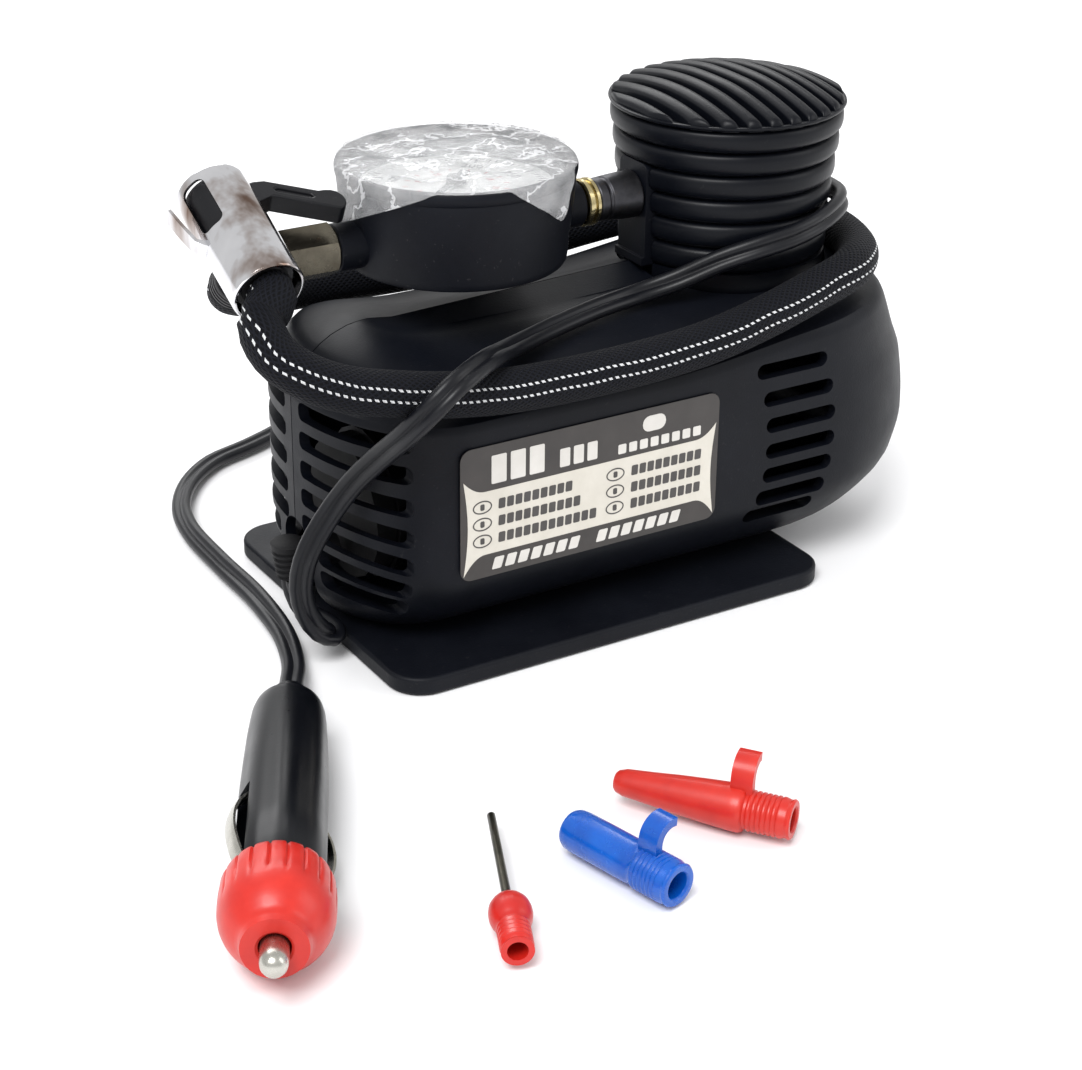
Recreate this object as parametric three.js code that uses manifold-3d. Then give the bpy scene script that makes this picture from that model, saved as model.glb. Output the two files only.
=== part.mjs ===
// Portable 12 V tire inflator: ribbed pump tower, flat housing with a hose groove, in-line pressure
// gauge, braided hose with a thumb-lock valve chuck, lighter-socket lead and three loose adapters.
// Millimetres. +Z up, +X from the louvred nose towards the pump tower, -Y towards the label side.
// The origin is the middle of the base plate's underside.

import * as THREE from 'three';
import { mergeVertices } from 'three/addons/utils/BufferGeometryUtils.js';
import Module from 'manifold-3d';

const wasm = await Module();
wasm.setup();

// ---------- driving dimensions ----------

const GAP = 0.3;                    // clearance between touching solids

const PLATE = { length: 110, width: 85, height: 4, corner: 8 };

const HOUSING = { noseX: -58.7, tailX: 97.5, halfWidth: 36, bottom: 4.3, wall: 2.4 };
const NOSE_SLOT_LEVELS = [52.6, 46.4, 40.4, 34.4, 28.6, 22.9, 17.4];
const NOSE_SLOT_DROPS = [0.4, 1.1, 2.6, 3.8, 4.6, 4.8, 4.2];   // how far each slot falls from x -69 to its end
const NOSE_SLOT_HEIGHT = 4.1;
const NOSE_SLOT_END = -46.5;
const TAIL_SLOTS = [[45.9, 52.9], [48.1, 46], [49.2, 39.5], [49.4, 33.2], [48.9, 27.4], [47.4, 22], [45, 17.6]];
const TAIL_SLOT = { length: 19, height: 3.6 };
const CORD_OPENING = { halfWidth: 6, top: 26 };
const HOUSING_SCREWS = [[-30, 52, 34.3], [18, 53, 34.3], [70, 30, 31]];   // x, z, depth of the head
const BASE_SCREWS = [[-34, -11], [46, 11]];

const TOWER = { x: 51, bottom: 62, top: 103, innerR: 20.5, seatR: 23.6, ribs: 5, ribPitch: 5.65, firstRib: 98.6 };
const FLANGE = { face: 26.4, back: 29.8, halfWidth: 5.4, bottom: 70, top: 93 };
const CAP = { bottom: 103.3, rimR: 26.6, top: 109.6, fins: 11, finPitch: 4.8, slot: 2.1, finDepth: 2.8 };

const AIR_Z = 85.3;                 // height of the straight air path: head, pipe, gauge, nut
const GAUGE = { x: -18.4, bottom: 78.6, bottomR: 23.7, top: 100.2, topR: 25.75 };
const NUT = { x0: -60.5, x1: -48.6, acrossFlats: 10.2 };
const RING = { x0: 12.1, x1: 15.2 };

const HOSE_R = 4.75;
const CORD_R = 1.9;
const CORD_Z = 2.1;                 // centre height of the lead where it lies on the floor

const MOTOR = { x0: -42, x1: 12, z: 26, r: 17 };
const GEARS = { module: 0.7, pinionTeeth: 10, driveTeeth: 40, x0: 35, x1: 40, backlash: 0.25 };
const CRANK = { throw: 6, rodLength: 26, pinR: 2 };
const CYLINDER = { bottom: 60, top: 81.5, boreR: 9.6, outerR: 13 };

const AXLE_Z = MOTOR.z + GEARS.module * (GEARS.pinionTeeth + GEARS.driveTeeth) / 2 + GEARS.backlash;
const CRANK_PIN_Z = AXLE_Z + CRANK.throw;
const WRIST_Z = CRANK_PIN_Z + CRANK.rodLength;

const CHUCK_MOUTH = new THREE.Vector3(-73.1, -22.8, 87.5);
const CHUCK_AXIS = new THREE.Vector3(0.006, 0.898, 0.436).normalize();
const CHUCK_SIDE = new THREE.Vector3(1, 0, 0);
const CHUCK = { length: 29.5, outerR: 7.6, innerR: 6.9, pivotX: 4.6, pivotZ: 24, leverRest: -30 };

const PLUG_START = new THREE.Vector3(-80, -39.8, 8.3);
const PLUG_AXIS = new THREE.Vector3(-0.463, -0.886, 0.026).normalize();
const PLUG_ROLL = -30;

const COIL = { x: 42, y: 99, innerR: 21.4, outerR: 38.6, height: 12.6 };

// ---------- materials ----------

const FINISH = {
  shell: { color: 0x17171c, roughness: 0.42, metalness: 0 },
  rubber: { color: 0x0d0d0f, roughness: 0.8, metalness: 0 },
  brass: { color: 0xb08d3c, roughness: 0.3, metalness: 1 },
  chrome: { color: 0xd8d8dc, roughness: 0.12, metalness: 1 },
  steel: { color: 0x9a9aa0, roughness: 0.35, metalness: 1 },
  alloy: { color: 0xb4b4b8, roughness: 0.4, metalness: 1 },
  white: { color: 0xe6e4dc, roughness: 0.6, metalness: 0 },
  clear: { color: 0xe8eef0, roughness: 0.08, metalness: 0 },
  red: { color: 0xe0402a, roughness: 0.3, metalness: 0 },
  blue: { color: 0x1478dc, roughness: 0.25, metalness: 0 },
  label: { color: 0xe8e4d8, roughness: 0.5, metalness: 0 },
};

const group = new THREE.Group();

function part(name, geometry, finish, parent = group) {
  const mesh = new THREE.Mesh(weld(geometry), new THREE.MeshStandardMaterial(FINISH[finish]));
  mesh.name = name;
  parent.add(mesh);
  return mesh;
}

// ---------- geometry helpers ----------

function signedVolume(geometry) {
  const p = geometry.attributes.position;
  const index = geometry.index.array;
  const a = new THREE.Vector3();
  const b = new THREE.Vector3();
  const c = new THREE.Vector3();
  let volume = 0;
  for (let i = 0; i < index.length; i += 3) {
    a.fromBufferAttribute(p, index[i]);
    b.fromBufferAttribute(p, index[i + 1]);
    c.fromBufferAttribute(p, index[i + 2]);
    volume += a.dot(b.cross(c)) / 6;
  }
  return volume;
}

// Welds the vertices, drops empty triangles and turns the faces outwards.
function weld(source) {
  const raw = source.clone();
  raw.deleteAttribute('normal');
  raw.deleteAttribute('uv');
  const geometry = mergeVertices(raw, 1e-4);
  const kept = [];
  const index = geometry.index.array;
  for (let i = 0; i < index.length; i += 3) {
    const [a, b, c] = [index[i], index[i + 1], index[i + 2]];
    if (a !== b && b !== c && c !== a) kept.push(a, b, c);
  }
  geometry.setIndex(kept);
  if (signedVolume(geometry) < 0) {
    for (let i = 0; i < kept.length; i += 3) [kept[i + 1], kept[i + 2]] = [kept[i + 2], kept[i + 1]];
    geometry.setIndex(kept);
  }
  return geometry;
}

function solid(geometry) {
  const welded = weld(geometry);
  const vertProperties = new Float32Array(welded.attributes.position.array);
  const triVerts = new Uint32Array(welded.index.array);
  return new wasm.Manifold(new wasm.Mesh({ numProp: 3, vertProperties, triVerts }));
}

function meshOf(manifold) {
  const mesh = manifold.getMesh();
  const geometry = new THREE.BufferGeometry();
  geometry.setAttribute('position', new THREE.Float32BufferAttribute(mesh.vertProperties, 3));
  geometry.setIndex(new THREE.Uint32BufferAttribute(mesh.triVerts, 1));
  return geometry;
}

const union = (...geometries) => meshOf(geometries.map(solid).reduce((a, b) => a.add(b)));
const cut = (base, ...tools) => meshOf(tools.map(solid).reduce((a, b) => a.subtract(b), solid(base)));

function box(x0, x1, y0, y1, z0, z1) {
  const geometry = new THREE.BoxGeometry(x1 - x0, y1 - y0, z1 - z0);
  return geometry.translate((x0 + x1) / 2, (y0 + y1) / 2, (z0 + z1) / 2);
}

function cylinderZ(x, y, z0, z1, r, sides = 24) {
  return new THREE.CylinderGeometry(r, r, z1 - z0, sides).rotateX(Math.PI / 2).translate(x, y, (z0 + z1) / 2);
}

function cylinderX(x0, x1, y, z, r, sides = 24) {
  return new THREE.CylinderGeometry(r, r, x1 - x0, sides).rotateZ(Math.PI / 2).translate((x0 + x1) / 2, y, z);
}

function cylinderY(x, y0, y1, z, r, sides = 24) {
  return new THREE.CylinderGeometry(r, r, y1 - y0, sides).translate(x, (y0 + y1) / 2, z);
}

// A profile of [radius, height] points turned about Z.
function turned(profile, sides = 32) {
  return new THREE.LatheGeometry(profile.map(([r, h]) => new THREE.Vector2(r, h)), sides).rotateX(Math.PI / 2);
}

function ringZ(innerR, outerR, z0, z1, sides = 32) {
  return turned([[innerR, z0], [outerR, z0], [outerR, z1], [innerR, z1], [innerR, z0]], sides);
}

function ringX(x0, x1, y, z, innerR, outerR, sides = 24) {
  return ringZ(innerR, outerR, x0, x1, sides).rotateY(Math.PI / 2).translate(0, y, z);
}

function slab(shape, z0, z1, curveSegments = 6) {
  const options = { depth: z1 - z0, bevelEnabled: false, curveSegments };
  return new THREE.ExtrudeGeometry(shape, options).translate(0, 0, z0);
}

function roundedRectangle(halfX, halfY, r) {
  const shape = new THREE.Shape();
  shape.moveTo(-halfX + r, -halfY);
  shape.lineTo(halfX - r, -halfY);
  shape.absarc(halfX - r, -halfY + r, r, -Math.PI / 2, 0);
  shape.lineTo(halfX, halfY - r);
  shape.absarc(halfX - r, halfY - r, r, 0, Math.PI / 2);
  shape.lineTo(-halfX + r, halfY);
  shape.absarc(-halfX + r, halfY - r, r, Math.PI / 2, Math.PI);
  shape.lineTo(-halfX, -halfY + r);
  shape.absarc(-halfX + r, -halfY + r, r, Math.PI, Math.PI * 1.5);
  return shape;
}

const toVectors = (points) => points.map(([x, y, z]) => new THREE.Vector3(x, y, z));

// A round tube along a smooth curve through the points.
function tubeAlong(points, r, sides, steps) {
  const section = new THREE.Shape();
  for (let i = 0; i < sides; i++) {
    const angle = 2 * Math.PI * i / sides;
    if (i === 0) section.moveTo(r * Math.cos(angle), r * Math.sin(angle));
    else section.lineTo(r * Math.cos(angle), r * Math.sin(angle));
  }
  const extrudePath = new THREE.CatmullRomCurve3(toVectors(points), false, 'centripetal');
  return new THREE.ExtrudeGeometry(section, { steps, extrudePath, bevelEnabled: false });
}

// A closed skin over a stack of rings that all have the same number of points.
function lofted(rings) {
  const count = rings[0].length;
  const positions = rings.flat().flatMap((p) => [p.x, p.y, p.z]);
  const index = [];
  for (let i = 0; i < rings.length - 1; i++) {
    for (let j = 0; j < count; j++) {
      const a = i * count + j;
      const b = i * count + (j + 1) % count;
      index.push(a, b, b + count, a, b + count, a + count);
    }
  }
  const last = (rings.length - 1) * count;
  for (const [start, ring] of [[0, rings[0]], [last, rings[rings.length - 1]]]) {
    const centre = ring.reduce((sum, p) => sum.add(p), new THREE.Vector3()).divideScalar(count);
    const middle = positions.length / 3;
    positions.push(centre.x, centre.y, centre.z);
    for (let j = 0; j < count; j++) {
      const a = start + j;
      const b = start + (j + 1) % count;
      if (start === 0) index.push(b, a, middle);
      else index.push(a, b, middle);
    }
  }
  const geometry = new THREE.BufferGeometry();
  geometry.setAttribute('position', new THREE.Float32BufferAttribute(positions, 3));
  geometry.setIndex(index);
  return geometry;
}

// ---------- housing ----------

// Each level: height, nose x, tail x, half width, length of the nose curve, length of the tail curve.
const ARC_STEPS = 8;
const STRAIGHT_X = [-14, 10, 24, 38];
const LEVELS = [
  [4.3, -50, 64, 18, 14, 20],
  [5.6, -54, 71, 23, 17.4, 25],
  [12, -57.8, 86.5, 31.2, 21.8, 33],
  [22, -58.7, 95.5, 35.9, 24, 38],
  [30, -58.7, 97.5, 36, 24, 38.5],
  [44, -58.7, 95.5, 36, 24, 37.6],
  [54, -58.7, 89.5, 36, 24, 35.5],
  [56, -58, 87, 35.2, 23.4, 34.3],
  [57.2, -55.4, 82.5, 32.4, 21, 31],
  [59, -54.6, 80.5, 31, 20.5, 30],
  [62, -51.5, 75.5, 25.4, 18.8, 26.5],
  [65.2, -45, 67, 14, 13, 15],
  [66.3, -40, 60, 7, 6.5, 7],
];

function smooth(t) {
  const s = Math.min(Math.max(t, 0), 1);
  return s * s * (3 - 2 * s);
}

// The hose groove climbs round the tower, and the crown inside it also rises at the nose.
function lift(x, level) {
  const tail = 5 * smooth((x - 10) / 60) * smooth((level - 48) / 8);
  const nose = 2.8 * smooth((-20 - x) / 30) * smooth((level - 57) / 3);
  return tail + nose;
}

function planRing([z, noseX, tailX, half, noseLength, tailLength], inset) {
  const ring = [];
  const add = (x, y) => ring.push(new THREE.Vector3(x, y, z + lift(x, z)));
  const arc = (centre, length, start) => {
    for (let i = 0; i <= ARC_STEPS; i++) {
      const angle = start + Math.PI * i / ARC_STEPS;
      add(centre + (length - inset) * Math.cos(angle), (half - inset) * Math.sin(angle));
    }
  };
  arc(tailX - tailLength, tailLength, -Math.PI / 2);
  for (const x of [...STRAIGHT_X].reverse()) add(x, half - inset);
  arc(noseX + noseLength, noseLength, Math.PI / 2);
  for (const x of STRAIGHT_X) add(x, inset - half);
  return ring;
}

function housingSkin(inset) {
  const levels = inset > 0 ? LEVELS.filter((level, i) => i % 2 === 0) : LEVELS;
  const rings = levels.map((level) => planRing(level, inset));
  if (inset > 0) {
    const floor = HOUSING.bottom + inset;
    const crown = LEVELS[LEVELS.length - 1][0] - inset;
    for (const ring of rings) {
      for (const p of ring) p.z = floor + (p.z - HOUSING.bottom) * (crown - floor) / (crown + inset - HOUSING.bottom);
    }
  }
  return lofted(rings);
}

function noseSlots(side) {
  return NOSE_SLOT_LEVELS.map((z, i) => {
    const inner = z < CORD_OPENING.top + 2 ? CORD_OPENING.halfWidth + 3 : 3.2;
    const [y0, y1] = side < 0 ? [-45, -inner] : [inner, 45];
    const slot = box(-70, NOSE_SLOT_END, y0, y1, z - NOSE_SLOT_HEIGHT / 2, z + NOSE_SLOT_HEIGHT / 2);
    const slope = NOSE_SLOT_DROPS[i] / (NOSE_SLOT_END + 69);
    const shear = new THREE.Matrix4().set(1, 0, 0, 0, 0, 1, 0, 0, -slope, 0, 1, -slope * 69, 0, 0, 0, 1);
    return slot.applyMatrix4(shear);
  });
}

function tailSlots(side) {
  return TAIL_SLOTS.map(([x, z]) => {
    const shape = roundedRectangle(TAIL_SLOT.length / 2, TAIL_SLOT.height / 2, TAIL_SLOT.height / 2 - 0.01);
    const tool = slab(shape, -8, 8, 2).rotateX(Math.PI / 2);
    return tool.translate(x, side * HOUSING.halfWidth, z);
  });
}

function cordOpening() {
  const { halfWidth, top } = CORD_OPENING;
  const mouth = box(-70, -50, -halfWidth, halfWidth, 2, top - halfWidth / 2);
  return union(mouth, cylinderX(-70, -50, 0, top - halfWidth, halfWidth, 16));
}

// side is -1 for the label half and 1 for the far half.
function housingHalf(side) {
  const otherHalf = side < 0 ? box(-100, 140, -GAP / 2, 80, -5, 120) : box(-100, 140, -80, GAP / 2, -5, 120);
  const bosses = HOUSING_SCREWS.map(([x, z, head]) => cylinderY(x, 0, side * (head + 0.1), z, 3.8, 12));
  const shell = cut(housingSkin(0), housingSkin(HOUSING.wall));
  const tools = [otherHalf, cylinderZ(TOWER.x, 0, 50, 90, TOWER.seatR + 0.6, 24), cordOpening()];
  for (const [x, z, head] of HOUSING_SCREWS) {
    if (side > 0) {
      tools.push(cylinderY(x, -1, 50, z, 1.8, 10));
      tools.push(cylinderY(x, head - 2.3, 50, z, 3.4, 12));
    } else {
      tools.push(cylinderY(x, -16, 1, z, 1.8, 10));
    }
  }
  for (const [x, y] of BASE_SCREWS) tools.push(cylinderZ(x, y, 2, 8, 1.8, 10));
  return cut(union(shell, ...bosses), ...tools, ...noseSlots(side), ...tailSlots(side));
}

function buildHousing() {
  part('housing_near', housingHalf(-1), 'shell');
  part('housing_far', housingHalf(1), 'shell');
  HOUSING_SCREWS.forEach(([x, z, head], i) => {
    const screw = union(cylinderY(x, -14, head - 1, z, 1.5, 10), cylinderY(x, head - 2, head, z, 3, 12));
    part(`housing_screw_${i + 1}`, screw, 'steel');
  });
  part('label_sticker', box(-38.4, 26.2, -HOUSING.halfWidth - 0.7, -HOUSING.halfWidth - GAP, 21, 51), 'label');
}

function buildBase() {
  const outline = roundedRectangle(PLATE.length / 2, PLATE.width / 2, PLATE.corner);
  const tools = [];
  for (const [x, y] of BASE_SCREWS) {
    tools.push(cylinderZ(x, y, -1, 2, 3.5, 12));
    tools.push(cylinderZ(x, y, 1, 6, 1.8, 10));
  }
  part('base_plate', cut(slab(outline, 0, PLATE.height), ...tools), 'shell');
  BASE_SCREWS.forEach(([x, y], i) => {
    part(`base_screw_${i + 1}`, union(cylinderZ(x, y, 0.4, 1.7, 3, 12), cylinderZ(x, y, 1.2, 10, 1.5, 10)), 'steel');
  });
}

// ---------- pump tower ----------

function coverGeometry() {
  const profile = [[TOWER.innerR, TOWER.bottom], [TOWER.seatR, TOWER.bottom], [TOWER.seatR, 71], [24.4, 73.5]];
  for (let i = TOWER.ribs - 1; i >= 0; i--) {
    const low = TOWER.firstRib - i * TOWER.ribPitch;
    const crest = 25.4 - 0.42 * i;
    profile.push([crest - 1.4, low - 0.6], [crest - 0.2, low + 0.4], [crest - 0.3, low + 3]);
  }
  profile.push([24.6, TOWER.top], [TOWER.innerR, TOWER.top], [TOWER.innerR, TOWER.bottom]);
  const pocket = box(15, FLANGE.back + GAP, -FLANGE.halfWidth - GAP, FLANGE.halfWidth + GAP, 60, FLANGE.top + GAP);
  return cut(turned(profile, 24).translate(TOWER.x, 0, 0), pocket, cylinderX(20, 40, 0, AIR_Z, 3.9, 16));
}

function capGeometry() {
  const dome = (shrink) => turned([
    [0, CAP.bottom], [CAP.rimR - 0.6 - shrink, CAP.bottom], [CAP.rimR - shrink, CAP.bottom + 0.7],
    [24.8 - shrink, 105.4 - shrink / 3], [20.4 - shrink, 106.8 - shrink * 0.8],
    [12, 108.7 - shrink], [0, CAP.top - shrink],
  ], 24);
  const slots = [];
  for (let i = 0; i < CAP.fins - 1; i++) {
    const x = (i - (CAP.fins - 2) / 2) * CAP.finPitch;
    slots.push(box(x - CAP.slot / 2, x + CAP.slot / 2, -40, 40, CAP.bottom + 1, 130));
  }
  return union(cut(dome(0), ...slots), dome(CAP.finDepth)).translate(TOWER.x, 0, 0);
}

function flangeGeometry() {
  const { face, back, halfWidth, bottom, top } = FLANGE;
  const block = box(face, back, -halfWidth, halfWidth, bottom, top);
  const foot = box(face - 1.4, back, -halfWidth, halfWidth, bottom, bottom + 2);
  return cut(union(block, foot), cylinderX(20, 40, 0, AIR_Z, 3.9, 16));
}

function buildTower() {
  part('cylinder_cover', coverGeometry(), 'shell');
  part('finned_cap', capGeometry(), 'shell');
  part('outlet_flange', flangeGeometry(), 'shell');
  const pipe = union(ringX(RING.x1 + GAP, 26.1, 0, AIR_Z, 2, 5.3, 16), ringX(25.6, 36.7, 0, AIR_Z, 2, 3.6, 16));
  part('outlet_pipe', pipe, 'alloy');
  part('brass_ring', ringX(RING.x0, RING.x1, 0, AIR_Z, 2, 5.3, 20), 'brass');
}

// ---------- pump ----------

// A gear outline with straight-flanked teeth, the first tooth centred on the shape's x axis.
function gearShape(teeth, module, boreR) {
  const tip = module * (teeth / 2 + 0.9);
  const root = module * (teeth / 2 - 1.2);
  const pitch = 2 * Math.PI / teeth;
  const shape = new THREE.Shape();
  for (let i = 0; i < teeth; i++) {
    const centre = i * pitch;
    const corners = [[root, -0.24], [tip, -0.1], [tip, 0.1], [root, 0.24]];
    corners.forEach(([r, share], k) => {
      const angle = centre + share * pitch;
      if (i === 0 && k === 0) shape.moveTo(r * Math.cos(angle), r * Math.sin(angle));
      else shape.lineTo(r * Math.cos(angle), r * Math.sin(angle));
    });
  }
  shape.closePath();
  const bore = new THREE.Path();
  for (let i = 0; i < 16; i++) {
    const angle = 2 * Math.PI * i / 16;
    if (i === 0) bore.moveTo(boreR, 0);
    else bore.lineTo(boreR * Math.cos(angle), boreR * Math.sin(angle));
  }
  bore.closePath();
  shape.holes.push(bore);
  return shape;
}

// Turns a slab's Z towards +X, keeping the shape's own x along world Y.
function faceX(geometry) {
  const basis = new THREE.Matrix4();
  basis.makeBasis(new THREE.Vector3(0, 1, 0), new THREE.Vector3(0, 0, 1), new THREE.Vector3(1, 0, 0));
  return geometry.applyMatrix4(basis);
}

function buildGears() {
  const { module, pinionTeeth, driveTeeth, x0, x1 } = GEARS;
  const pinion = slab(gearShape(pinionTeeth, module, 1.95), x0 - 1, x1 + 1);
  part('pinion_gear', faceX(pinion).translate(0, 0, MOTOR.z), 'brass');
  const drive = slab(gearShape(driveTeeth, module, 2.42), x0, x1);
  part('drive_gear', faceX(drive).translate(0, 0, AXLE_Z), 'white');
  part('gear_axle', cylinderX(31, 42, 0, AXLE_Z, 2.3, 16), 'steel');
  part('crank_pin', cylinderX(x1 + GAP, 47.6, 0, CRANK_PIN_Z, CRANK.pinR, 12), 'steel');
}

function buildMotor() {
  const { x0, x1, z, r } = MOTOR;
  const can = turned([[1.72, x1], [6, x1], [r, x1], [r, x0], [15.6, x0], [15.6, x1 - 1.4], [1.72, x1 - 1.4], [1.72, x1]], 20);
  part('motor_can', can.rotateY(Math.PI / 2).translate(0, 0, z), 'steel');
  part('motor_end_cap', cut(cylinderX(x0 - 5, x0 - GAP, 0, z, 16, 20), cylinderX(x0 - 3, x0 + 1, 0, z, 1.72, 12)), 'white');
  const rotor = union(cylinderX(x0 + 6, x1 - 6, 0, z, 13, 16), cylinderX(x0 - 2, GEARS.x1 + 2, 0, z, 1.6, 12));
  part('motor_rotor', rotor, 'steel');
}

function buildFrame() {
  const plate = box(27.5, 30.6, -14, 14, 9.5, 61.6);
  const arm = box(27.5, 45, -7, 7, 59, 61.6);
  const ring = cylinderZ(TOWER.x, 0, 59, 61.6, 17.5, 20);
  const rear = box(13, 28, -13, 13, 8.2, 10.2);
  const tools = [
    cylinderZ(TOWER.x, 0, 58, 63, CYLINDER.outerR + GAP, 20),
    cylinderX(26, 32, 0, MOTOR.z, 2.4, 12),
    cylinderX(30.3, 32, 0, AXLE_Z, 3, 12),
  ];
  part('gear_frame', cut(union(plate, arm, ring, rear), ...tools), 'steel');
}

function buildPump() {
  const at = (geometry) => geometry.translate(TOWER.x, 0, 0);
  const { bottom, top, boreR, outerR } = CYLINDER;
  part('cylinder_barrel', at(ringZ(boreR, outerR, bottom, top, 20)), 'alloy');
  const body = turned([[0, WRIST_Z - 4.5], [8, WRIST_Z - 4.5], [9.2, WRIST_Z - 3.5], [9.2, WRIST_Z + 2],
    [7.8, WRIST_Z + 2], [7.8, WRIST_Z + 3.6], [9.2, WRIST_Z + 3.6], [9.2, WRIST_Z + 5], [0, WRIST_Z + 5]], 20);
  const pocket = union(cylinderX(-3.6, 3.6, 0, WRIST_Z, 3.7, 14), box(-3.6, 3.6, -5.5, 5.5, WRIST_Z - 6, WRIST_Z - 1));
  const pin = cylinderX(-5, 5, 0, WRIST_Z, 1.2, 10);
  part('piston', at(union(cut(body, pocket), pin)), 'alloy');
  part('piston_seal', at(ringZ(8.2, 9.4, WRIST_Z + 2.3, WRIST_Z + 3.3, 20)), 'rubber');
  const bigEnd = cylinderX(-3, 3, 0, CRANK_PIN_Z, 4.6, 18);
  const smallEnd = cylinderX(-3, 3, 0, WRIST_Z, 3.2, 16);
  const shank = box(-1.6, 1.6, -1.8, 1.8, CRANK_PIN_Z, WRIST_Z);
  const holes = [cylinderX(-4, 4, 0, CRANK_PIN_Z, CRANK.pinR + 0.4, 14), cylinderX(-4, 4, 0, WRIST_Z, 1.3, 12)];
  part('connecting_rod', at(cut(union(bigEnd, smallEnd, shank), ...holes)), 'alloy');
  const ports = [cylinderX(-16, -4, 0, AIR_Z + 1, 1.8, 12), cylinderZ(0, 0, 80, 86, 2, 12)];
  const head = cut(cylinderZ(0, 0, top + GAP, 91.5, 14, 20), cylinderZ(0, 0, 85, 89, 8, 16), ...ports);
  part('cylinder_head', at(head), 'alloy');
  part('outlet_valve', at(cylinderZ(0, 0, 85.3, 86.1, 5, 16)), 'steel');
}

// ---------- gauge ----------

function buildGauge() {
  const at = (geometry) => geometry.translate(GAUGE.x, 0, 0);
  const { bottom, bottomR, top, topR } = GAUGE;
  const cup = turned([[0, bottom], [bottomR - 2, bottom], [bottomR - 0.5, bottom + 1.2], [bottomR + 0.2, 84],
    [topR - 0.4, 97.5], [topR, top - 0.8], [topR - 0.6, top], [23.5, top], [23.3, 97.2], [22.4, 97.2],
    [22.2, 82], [0, 82]], 28);
  const bosses = union(cylinderX(-29.7, -23, 0, AIR_Z, 5.1, 16), cylinderX(23, 30, 0, AIR_Z, 5.1, 16));
  const bored = cut(union(cup, bosses), cylinderX(-40, 40, 0, AIR_Z, 4.1, 16), cylinderZ(0, 0, 82.1, 97, 22.2, 28));
  part('gauge_case', at(bored), 'shell');
  part('gauge_stem', ringX(NUT.x1 + GAP, RING.x0 - GAP, 0, AIR_Z, 1.8, 3.8, 16), 'brass');
  const turns = [];
  for (let i = 0; i <= 10; i++) {
    const angle = Math.PI * (-0.35 + 1.35 * i / 10);
    turns.push([14 * Math.cos(angle), 14 * Math.sin(angle), 90.6]);
  }
  part('bourdon_tube', at(tubeAlong(turns, 1.1, 8, 16)), 'brass');
  part('gauge_dial', at(cylinderZ(0, 0, 93.5, 94.1, 21.6, 28)), 'white');
  const needle = new THREE.Shape();
  needle.moveTo(-5.5, -1.1);
  needle.lineTo(16.5, -0.35);
  needle.lineTo(16.5, 0.35);
  needle.lineTo(-5.5, 1.1);
  const pointer = union(slab(needle, 95.3, 95.9), cylinderZ(0, 0, 94.5, 96.4, 2.1, 16));
  part('gauge_pointer', at(pointer.rotateZ(Math.PI * 1.22)), 'rubber');
  part('gauge_lens', at(cylinderZ(0, 0, 97.5, 99.4, 22.8, 28)), 'clear');
  part('lens_film', at(slab(roundedRectangle(29, 23.5, 2), top + GAP, top + 0.6, 2)), 'clear');
}

// ---------- hose and chuck ----------

const ELBOW = [[NUT.x0 - GAP, 0, AIR_Z], [-66.4, 0, AIR_Z], [-65.2, 8.4, 79.4]].map((p) => new THREE.Vector3(...p));
const ELBOW_EXIT = ELBOW[2].clone().sub(ELBOW[1]).normalize();
const FERRULE_END = ELBOW[2].clone().addScaledVector(ELBOW_EXIT, 7 + GAP);

function hosePoints() {
  const start = FERRULE_END.clone().addScaledVector(ELBOW_EXIT, GAP);
  const end = CHUCK_MOUTH.clone().addScaledVector(CHUCK_AXIS, 1);
  return [
    start.toArray(), start.clone().addScaledVector(ELBOW_EXIT, 3).toArray(),
    [-57.4, 23.6, 69.2], [-49.5, 30, 66], [-40, 34.8, 63.9], [-28, 37, 62.8], [-12, 37.3, 62.2],
    [6, 37.3, 62.3], [22, 37.2, 63.5], [37, 35.8, 65.6], [52, 33, 67.7], [66.6, 28.2, 69.2], [77, 16.8, 69],
    [81.4, 0, 69], [77, -16.8, 69], [66.6, -28.2, 69.4], [52, -33, 67.9], [37, -35.8, 65.6], [22, -37.2, 63.5],
    [6, -37.3, 62.3], [-12, -37.3, 62.1], [-28, -37.3, 62.8], [-42, -37.3, 64.8], [-53, -37.1, 67.2],
    [-63.5, -36.2, 70], [-71.5, -34.4, 73.8], [-76.6, -31.4, 78.4], [-77.4, -27.8, 83.2],
    end.clone().addScaledVector(CHUCK_AXIS, -2.6).toArray(), end.toArray(),
  ];
}

function cylinderBetween(a, b, r, sides) {
  const length = a.distanceTo(b);
  const geometry = new THREE.CylinderGeometry(r, r, length, sides);
  const turn = new THREE.Quaternion().setFromUnitVectors(new THREE.Vector3(0, 1, 0), b.clone().sub(a).normalize());
  const middle = a.clone().add(b).multiplyScalar(0.5);
  return geometry.applyQuaternion(turn).translate(middle.x, middle.y, middle.z);
}

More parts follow.
